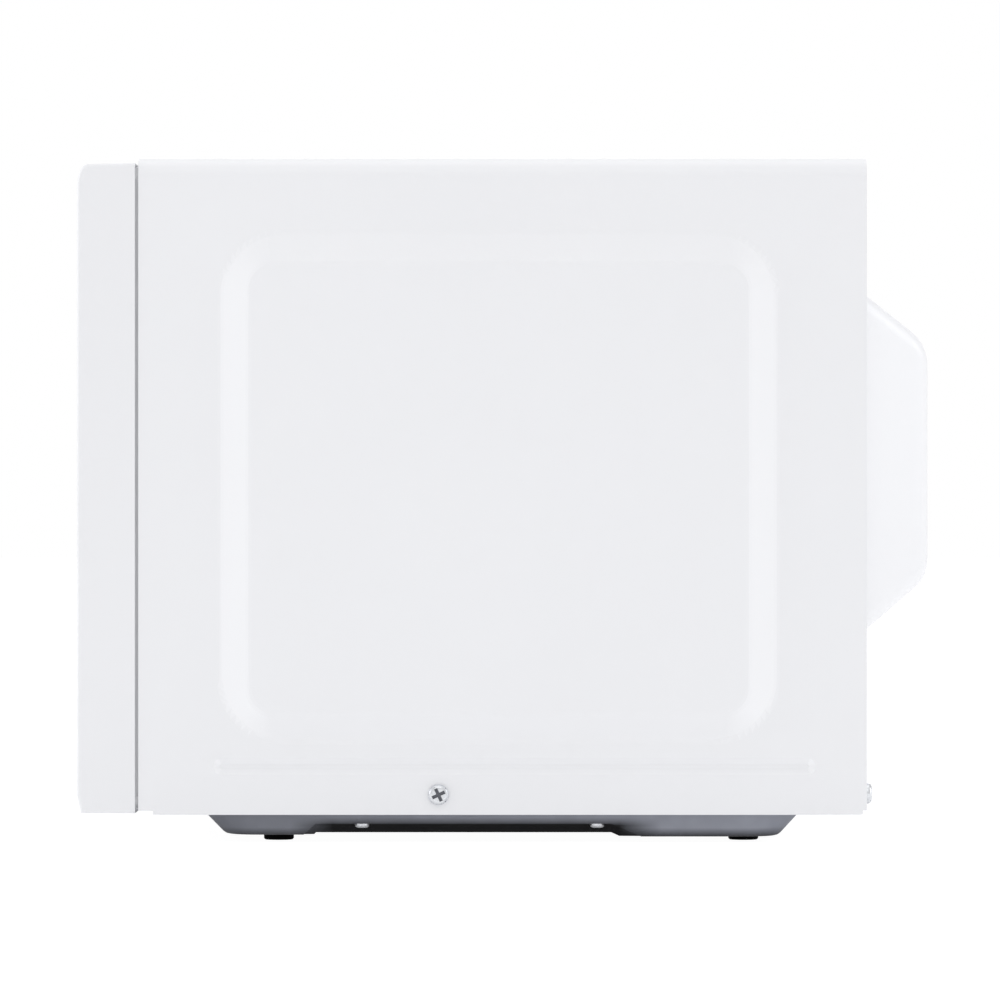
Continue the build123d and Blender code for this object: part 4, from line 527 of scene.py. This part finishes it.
class Drawing:
    """Flat polygons on one plane, gathered into one piece."""

    def __init__(self, name, plane_y):
        self.name = name
        self.plane_y = plane_y
        self.form = bmesh.new()

    def face(self, points):
        """Polygon through points given as x and z in millimetres."""
        corners = [self.form.verts.new((x * MM, self.plane_y, z * MM)) for x, z in points]
        self.form.faces.new(corners)

    def disc(self, x, z, radius, count=20):
        turn = 2 * math.pi / count
        self.face([polar(x, z, radius, i * turn) for i in range(count)])

    def band(self, outer, inner):
        """Closed band between two outlines with the same number of points."""
        for i in range(len(outer)):
            j = (i + 1) % len(outer)
            self.face([outer[i], outer[j], inner[j], inner[i]])

    def ring(self, x, z, radius, width, start=0.0, sweep=360.0, count=28):
        """Ring, or an arc of one, of a line width."""
        turn = math.radians(sweep) / count
        begin = math.radians(start)
        inner, outer = radius - width / 2, radius + width / 2
        for i in range(count):
            near, far = begin + i * turn, begin + (i + 1) * turn
            corners = ((inner, near), (outer, near), (outer, far), (inner, far))
            self.face([polar(x, z, *corner) for corner in corners])

    def line(self, x0, z0, x1, z1, width):
        """Straight stroke with square ends."""
        along = Vector((x1 - x0, z1 - z0)).normalized() * width / 2
        side = Vector((-along.y, along.x))
        first, last = Vector((x0, z0)) - along, Vector((x1, z1)) + along
        self.face([first - side, last - side, last + side, first + side])

    def path(self, points, width):
        for (x0, z0), (x1, z1) in zip(points, points[1:]):
            self.line(x0, z0, x1, z1, width)

    def text(self, words, size, x, z):
        curve = bpy.data.curves.new(self.name + "_words", "FONT")
        curve.body = words
        curve.size = size * MM
        curve.align_x = "CENTER"
        curve.align_y = "CENTER"
        writing = bpy.data.objects.new(self.name + "_words", curve)
        flat = bpy.data.meshes.new_from_object(writing)
        upright = Matrix.Rotation(math.pi / 2, 4, "X")
        flat.transform(Matrix.Translation((x * MM, self.plane_y, z * MM)) @ upright)
        self.form.from_mesh(flat)
        bpy.data.objects.remove(writing)
        bpy.data.curves.remove(curve)
        bpy.data.meshes.remove(flat)

    def piece(self, body, material):
        """Makes the piece, with every face towards the front, and lets it ride on a body."""
        mesh = bpy.data.meshes.new(self.name)
        bmesh.ops.recalc_face_normals(self.form, faces=self.form.faces)
        for polygon in self.form.faces:
            if polygon.normal.y > 0:
                polygon.normal_flip()
        self.form.to_mesh(mesh)
        self.form.free()
        mesh.materials.append(material)
        thing = bpy.data.objects.new(self.name, mesh)
        bpy.context.scene.collection.objects.link(thing)
        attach(thing, body)


def rounded(x, z, width, height, radius, steps=6):
    """Outline of a rounded rectangle about a middle."""
    points = []
    for cx, cz, start in (
        (width / 2 - radius, height / 2 - radius, 0),
        (radius - width / 2, height / 2 - radius, 90),
        (radius - width / 2, radius - height / 2, 180),
        (width / 2 - radius, radius - height / 2, 270),
    ):
        for step in range(steps + 1):
            angle = math.radians(start + 90 * step / steps)
            points.append(polar(x + cx, z + cz, radius, angle))
    return points


# Keypad: outlined keys with numbers and plain signs

key_pitch = (29.0, 18.4)
key_size = (25.6, 14.8)
key_corner = 3.0
key_line = 0.3
number_size = 8.6
print_proud = 0.03 * MM
rows_above = 3  # key rows above the middle one, with as many below it


# Signs: points and sizes in millimetres about the middle of a key

sign_line = 0.7
hand_line = 0.6
fine_line = 0.5
twig_line = 0.45
bar_line = 1.0
bar_pitch = 2.2
bar_foot = -3.0
bar_top = -1.6  # of the shortest bar
bar_rise = 1.2
frost_arm = 4.2
frost_fork = 2.6
frost_twig = 1.3
frost_spread = 0.6  # radians between an arm and its twigs
clock_radius = 4.0
clock_hands = ((0.0, 2.6), (0.0, 0.0), (1.9, -1.0))
cup_outline = ((-3.6, 1.6), (-2.8, -3.2), (2.0, -3.2), (2.8, 1.6), (-3.6, 1.6))
cup_handle = ((3.2, -0.6), 1.5, (-100, 200))  # middle, radius, start and sweep in degrees
steam = ((0.0, 2.6), (0.6, 3.4), (0.0, 4.2))
steam_places = (-1.8, 0.8)
dish_foot = -2.0
dish_radius = 4.0
plate_foot = -2.8
plate_reach = 5.2
knob_height = 2.9
knob_radius = 0.8
slice_outline = ((-4.0, 3.2), (4.0, 3.2), (0.0, -4.0), (-4.0, 3.2))
slice_spots = ((-1.5, 1.6), (1.4, 1.5), (0.0, -0.8))
spot_radius = 0.62
stop_radius = 4.4
stop_square = ((-1.7, -1.7), (1.7, -1.7), (1.7, 1.7), (-1.7, 1.7))
start_outline = ((0.0, 4.4), (4.4, 0.0), (0.0, -4.4), (-4.4, 0.0), (0.0, 4.4))
start_stroke = 1.6


def bars_sign(art, x, z):
    for step in range(5):
        across = x + bar_pitch * (step - 2)
        art.line(across, z + bar_foot, across, z + bar_top + bar_rise * step, bar_line)


def frost_sign(art, x, z):
    for turn in range(6):
        angle = math.radians(60 * turn + 30)
        art.line(x, z, *polar(x, z, frost_arm, angle), fine_line)
        fork = polar(x, z, frost_fork, angle)
        for side in (-frost_spread, frost_spread):
            art.line(*fork, *polar(*fork, frost_twig, angle + side), twig_line)


def clock_sign(art, x, z):
    art.ring(x, z, clock_radius, sign_line)
    art.path(moved(clock_hands, x, z), hand_line)


def cup_sign(art, x, z):
    art.path(moved(cup_outline, x, z), sign_line)
    (right, up), radius, arc = cup_handle
    art.ring(x + right, z + up, radius, hand_line, *arc)
    for shift in steam_places:
        art.path(moved(steam, x + shift, z), fine_line)


def dish_sign(art, x, z):
    art.ring(x, z + dish_foot, dish_radius, sign_line, 0, 180)
    art.line(x - plate_reach, z + plate_foot, x + plate_reach, z + plate_foot, sign_line)
    art.disc(x, z + knob_height, knob_radius)


def slice_sign(art, x, z):
    art.path(moved(slice_outline, x, z), sign_line)
    for spot in moved(slice_spots, x, z):
        art.disc(*spot, spot_radius)


def stop_sign(art, x, z):
    art.path([polar(x, z, stop_radius, math.radians(45 * i + 22.5)) for i in range(9)], sign_line)
    art.face(moved(stop_square, x, z))


def start_sign(art, x, z):
    art.path(moved(start_outline, x, z), sign_line)
    art.line(x, z + start_stroke, x, z - start_stroke, bar_line)


def key_outline(art, x, z, width):
    height = key_size[1]
    art.band(
        rounded(x, z, width, height, key_corner),
        rounded(x, z, width - 2 * key_line, height - 2 * key_line, key_corner - key_line),
    )


def keypad_print():
    low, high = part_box("keypad_overlay")
    plane_y = low.y - print_proud
    middle_x, middle_z = middle_of(low, high)
    art = Drawing("keypad_print", plane_y)
    go = Drawing("keypad_start_print", plane_y)
    rows = (
        (bars_sign, frost_sign, clock_sign),
        (cup_sign, dish_sign, slice_sign),
        ("1", "2", "3"),
        ("4", "5", "6"),
        ("7", "8", "9"),
        (stop_sign, "0", start_sign),
    )
    for row, signs in enumerate(rows):
        for column, sign in enumerate(signs):
            x = middle_x + key_pitch[0] * (column - 1)
            z = middle_z + key_pitch[1] * (rows_above - row)
            sheet = go if sign is start_sign else art
            key_outline(sheet, x, z, key_size[0])
            if callable(sign):
                sign(sheet, x, z)
            else:
                sheet.text(sign, number_size, x, z)
    z = middle_z - rows_above * key_pitch[1]
    key_outline(art, middle_x, z, key_size[0] + 2 * key_pitch[0])
    art.text("+30", number_size, middle_x, z)
    art.piece("chassis", ink("ink", pale_ink))
    go.piece("chassis", ink("green_ink", start_ink))


# Display: seven-segment clock digits behind the dark lens

digit_height = 13.0
digit_width = 7.0
digit_lean = 0.1
digit_places = (-20.5, -8.5, 8.5, 20.5)
segment_line = 1.5
segment_gap = 0.25
colon_height = 3.0
colon_radius = 0.95
clock_reading = "1200"
lit_segments = {"0": "abcdef", "1": "bc", "2": "abged"}


def display_digits():
    low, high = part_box("display_module")
    plane_y = low.y - print_proud
    middle_x, middle_z = middle_of(low, high)
    lit = Drawing("display_lit", plane_y)
    dim = Drawing("display_dim", plane_y)
    right, top, half_line = digit_width / 2, digit_height / 2, segment_line / 2
    ends = {
        "a": ((-right, top), (right, top)),
        "b": ((right, top), (right, 0)),
        "c": ((right, 0), (right, -top)),
        "d": ((right, -top), (-right, -top)),
        "e": ((-right, -top), (-right, 0)),
        "f": ((-right, 0), (-right, top)),
        "g": ((-right, 0), (right, 0)),
    }

    def lozenge(sheet, x, first, last):
        """One segment with pointed ends, leaning a little."""
        start, stop = Vector(first), Vector(last)
        along = (stop - start).normalized()
        side = Vector((-along.y, along.x)) * half_line
        start, stop = start + along * segment_gap, stop - along * segment_gap
        near, far = start + along * half_line, stop - along * half_line
        outline = [start, near - side, far - side, stop, far + side, near + side]
        sheet.face([(x + point.x + digit_lean * point.y, middle_z + point.y) for point in outline])

    for figure, shift in zip(clock_reading, digit_places):
        for letter, (first, last) in ends.items():
            lozenge(lit if letter in lit_segments[figure] else dim, middle_x + shift, first, last)
    for height in (-colon_height, colon_height):
        lit.disc(middle_x + digit_lean * height, middle_z + height, colon_radius)
    lit.piece("chassis", lit_segment())
    dim.piece("chassis", dim_segment())


# Door window: black border on the glass, fading into the window in rows of dots

border_in = 14.0  # from the glass's edge to the window
border_corner = 7.0
border_edge = 0.3  # bare glass round the print
glass_corner = 0.5
border_depth = 0.05 * MM  # from the glass's back face
dot_pitch = 2.6
dot_rows = ((1.9, 0.95), (4.3, 0.75), (6.5, 0.5))  # distance from the border, and radius
dot_steps = 10
tiny = 1e-9


def window_border():
    low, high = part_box("door_glass")
    x, z = middle_of(low, high)
    width, height = (high.x - low.x) / MM, (high.z - low.z) / MM
    art = Drawing("window_border", high.y - border_depth)
    inner_width, inner_height = width - 2 * border_in, height - 2 * border_in
    art.band(
        rounded(x, z, width - 2 * border_edge, height - 2 * border_edge, glass_corner),
        rounded(x, z, inner_width, inner_height, border_corner),
    )
    for inset, radius in dot_rows:
        long_side, short_side = inner_width - 2 * inset, inner_height - 2 * inset
        corner = border_corner - inset / 2
        outline = rounded(x, z, long_side, short_side, corner, dot_steps)
        outline.append(outline[0])
        travelled, wanted = 0.0, 0.0
        for (x0, z0), (x1, z1) in zip(outline, outline[1:]):
            length = math.hypot(x1 - x0, z1 - z0)
            while wanted <= travelled + length:
                share = (wanted - travelled) / max(length, tiny)
                art.disc(x0 + share * (x1 - x0), z0 + share * (z1 - z0), radius, dot_steps)
                wanted += dot_pitch
            travelled += length
    art.piece("door", black_enamel())


keypad_print()
display_digits()
window_border()


# Camera where the photograph was taken: level, square to the control-panel side

photo_width = 0.382  # metres across the frame at the near side
camera_distance = 2.5  # from the near side
camera_reach = 50.0  # farthest that it sees
sensor = 36.0  # millimetres
aim_back = 0.1383  # picture's middle behind the wrapper's front edge
aim_z = 0.1315  # and above the table

lens = bpy.data.cameras.new("camera")
lens.sensor_width = sensor
lens.lens = sensor * camera_distance / photo_width
lens.clip_end = camera_reach
camera = bpy.data.objects.new("camera", lens)
near_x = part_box("control_housing")[1].x
camera.location = (near_x + camera_distance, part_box("outer_wrapper")[0].y + aim_back, aim_z)
camera.rotation_euler = (math.pi / 2, 0, math.pi / 2)
bpy.context.scene.collection.objects.link(camera)
bpy.context.scene.camera = camera


# Floor, white to the camera as a light table is, and soft studio light

white = (1.0, 1.0, 1.0, 1.0)
floor_reach = 12.0
table_shade = 0.25
table_glow = 0.97
bounce_shade = 0.8
bounce_glow = 0.28
bounce_drop = 0.2 * MM
world_light = 0.74
oven_middle = (0, 0, 0.13)
lights = (  # name, place, width and watts
    ("overhead", (0, 0, 2.6), 2.4, 14),
    ("front", (0.1, -2.4, 0.9), 1.2, 13),
    ("rear", (0.1, 2.4, 0.9), 1.2, 10),
    ("right", (2.6, 0, 2.2), 1.6, 7),
    ("left", (-3.2, 0, 1.1), 2.0, 12),
)


def floor_sheet(name, height, shade, glow):
    mesh = bpy.data.meshes.new(name)
    signs = ((-1, -1), (1, -1), (1, 1), (-1, 1))
    corners = [(x * floor_reach, y * floor_reach, height) for x, y in signs]
    mesh.from_pydata(corners, [], [(0, 1, 2, 3)])
    ground = bpy.data.objects.new(name, mesh)
    bpy.context.scene.collection.objects.link(ground)
    paper = Shader(name, (shade, shade, shade), 0.9)
    paper.set("Specular IOR Level", 0.0)
    paper.set("Emission Color", white)
    paper.set("Emission Strength", glow)
    paper.bump(paper.noise(0.003, 3), 0.00005)
    paper.tint(paper.ramp(paper.noise(0.4, 2), 0.0, 0.2), paper.darker(0.99))
    mesh.materials.append(paper.material)
    return ground


def floor():
    """The table that the camera sees, and the hidden one just below it that lights the oven from below."""
    table = floor_sheet("floor", 0.0, table_shade, table_glow)
    table.visible_diffuse = False
    table.visible_glossy = False
    table.visible_shadow = False
    under = floor_sheet("floor_bounce", -bounce_drop, bounce_shade, bounce_glow)
    under.visible_camera = False
    under.visible_transmission = False


def soft_light(name, place, size, watts):
    """Square area light that faces the oven."""
    light = bpy.data.lights.new(name, "AREA")
    light.shape = "SQUARE"
    light.size = size
    light.energy = watts
    lamp = bpy.data.objects.new(name, light)
    lamp.location = place
    lamp.rotation_euler = (Vector(oven_middle) - Vector(place)).to_track_quat("-Z", "Y").to_euler()
    bpy.context.scene.collection.objects.link(lamp)


def studio():
    """Even light all round, with a backdrop that is pure white to the camera."""
    world = bpy.data.worlds.new("studio")
    world.use_nodes = True
    tree = world.node_tree
    lighting = tree.nodes["Background"]
    lighting.inputs["Color"].default_value = white
    lighting.inputs["Strength"].default_value = world_light
    backdrop = tree.nodes.new("ShaderNodeBackground")
    backdrop.inputs["Color"].default_value = white
    seen = tree.nodes.new("ShaderNodeLightPath").outputs["Is Camera Ray"]
    either = tree.nodes.new("ShaderNodeMixShader")
    tree.links.new(seen, either.inputs[0])
    tree.links.new(lighting.outputs["Background"], either.inputs[1])
    tree.links.new(backdrop.outputs["Background"], either.inputs[2])
    tree.links.new(either.outputs["Shader"], tree.nodes["World Output"].inputs["Surface"])
    bpy.context.scene.world = world
    for name, place, size, watts in lights:
        soft_light(name, place, size, watts)
    bpy.context.scene.view_settings.view_transform = "Standard"


floor()
studio()
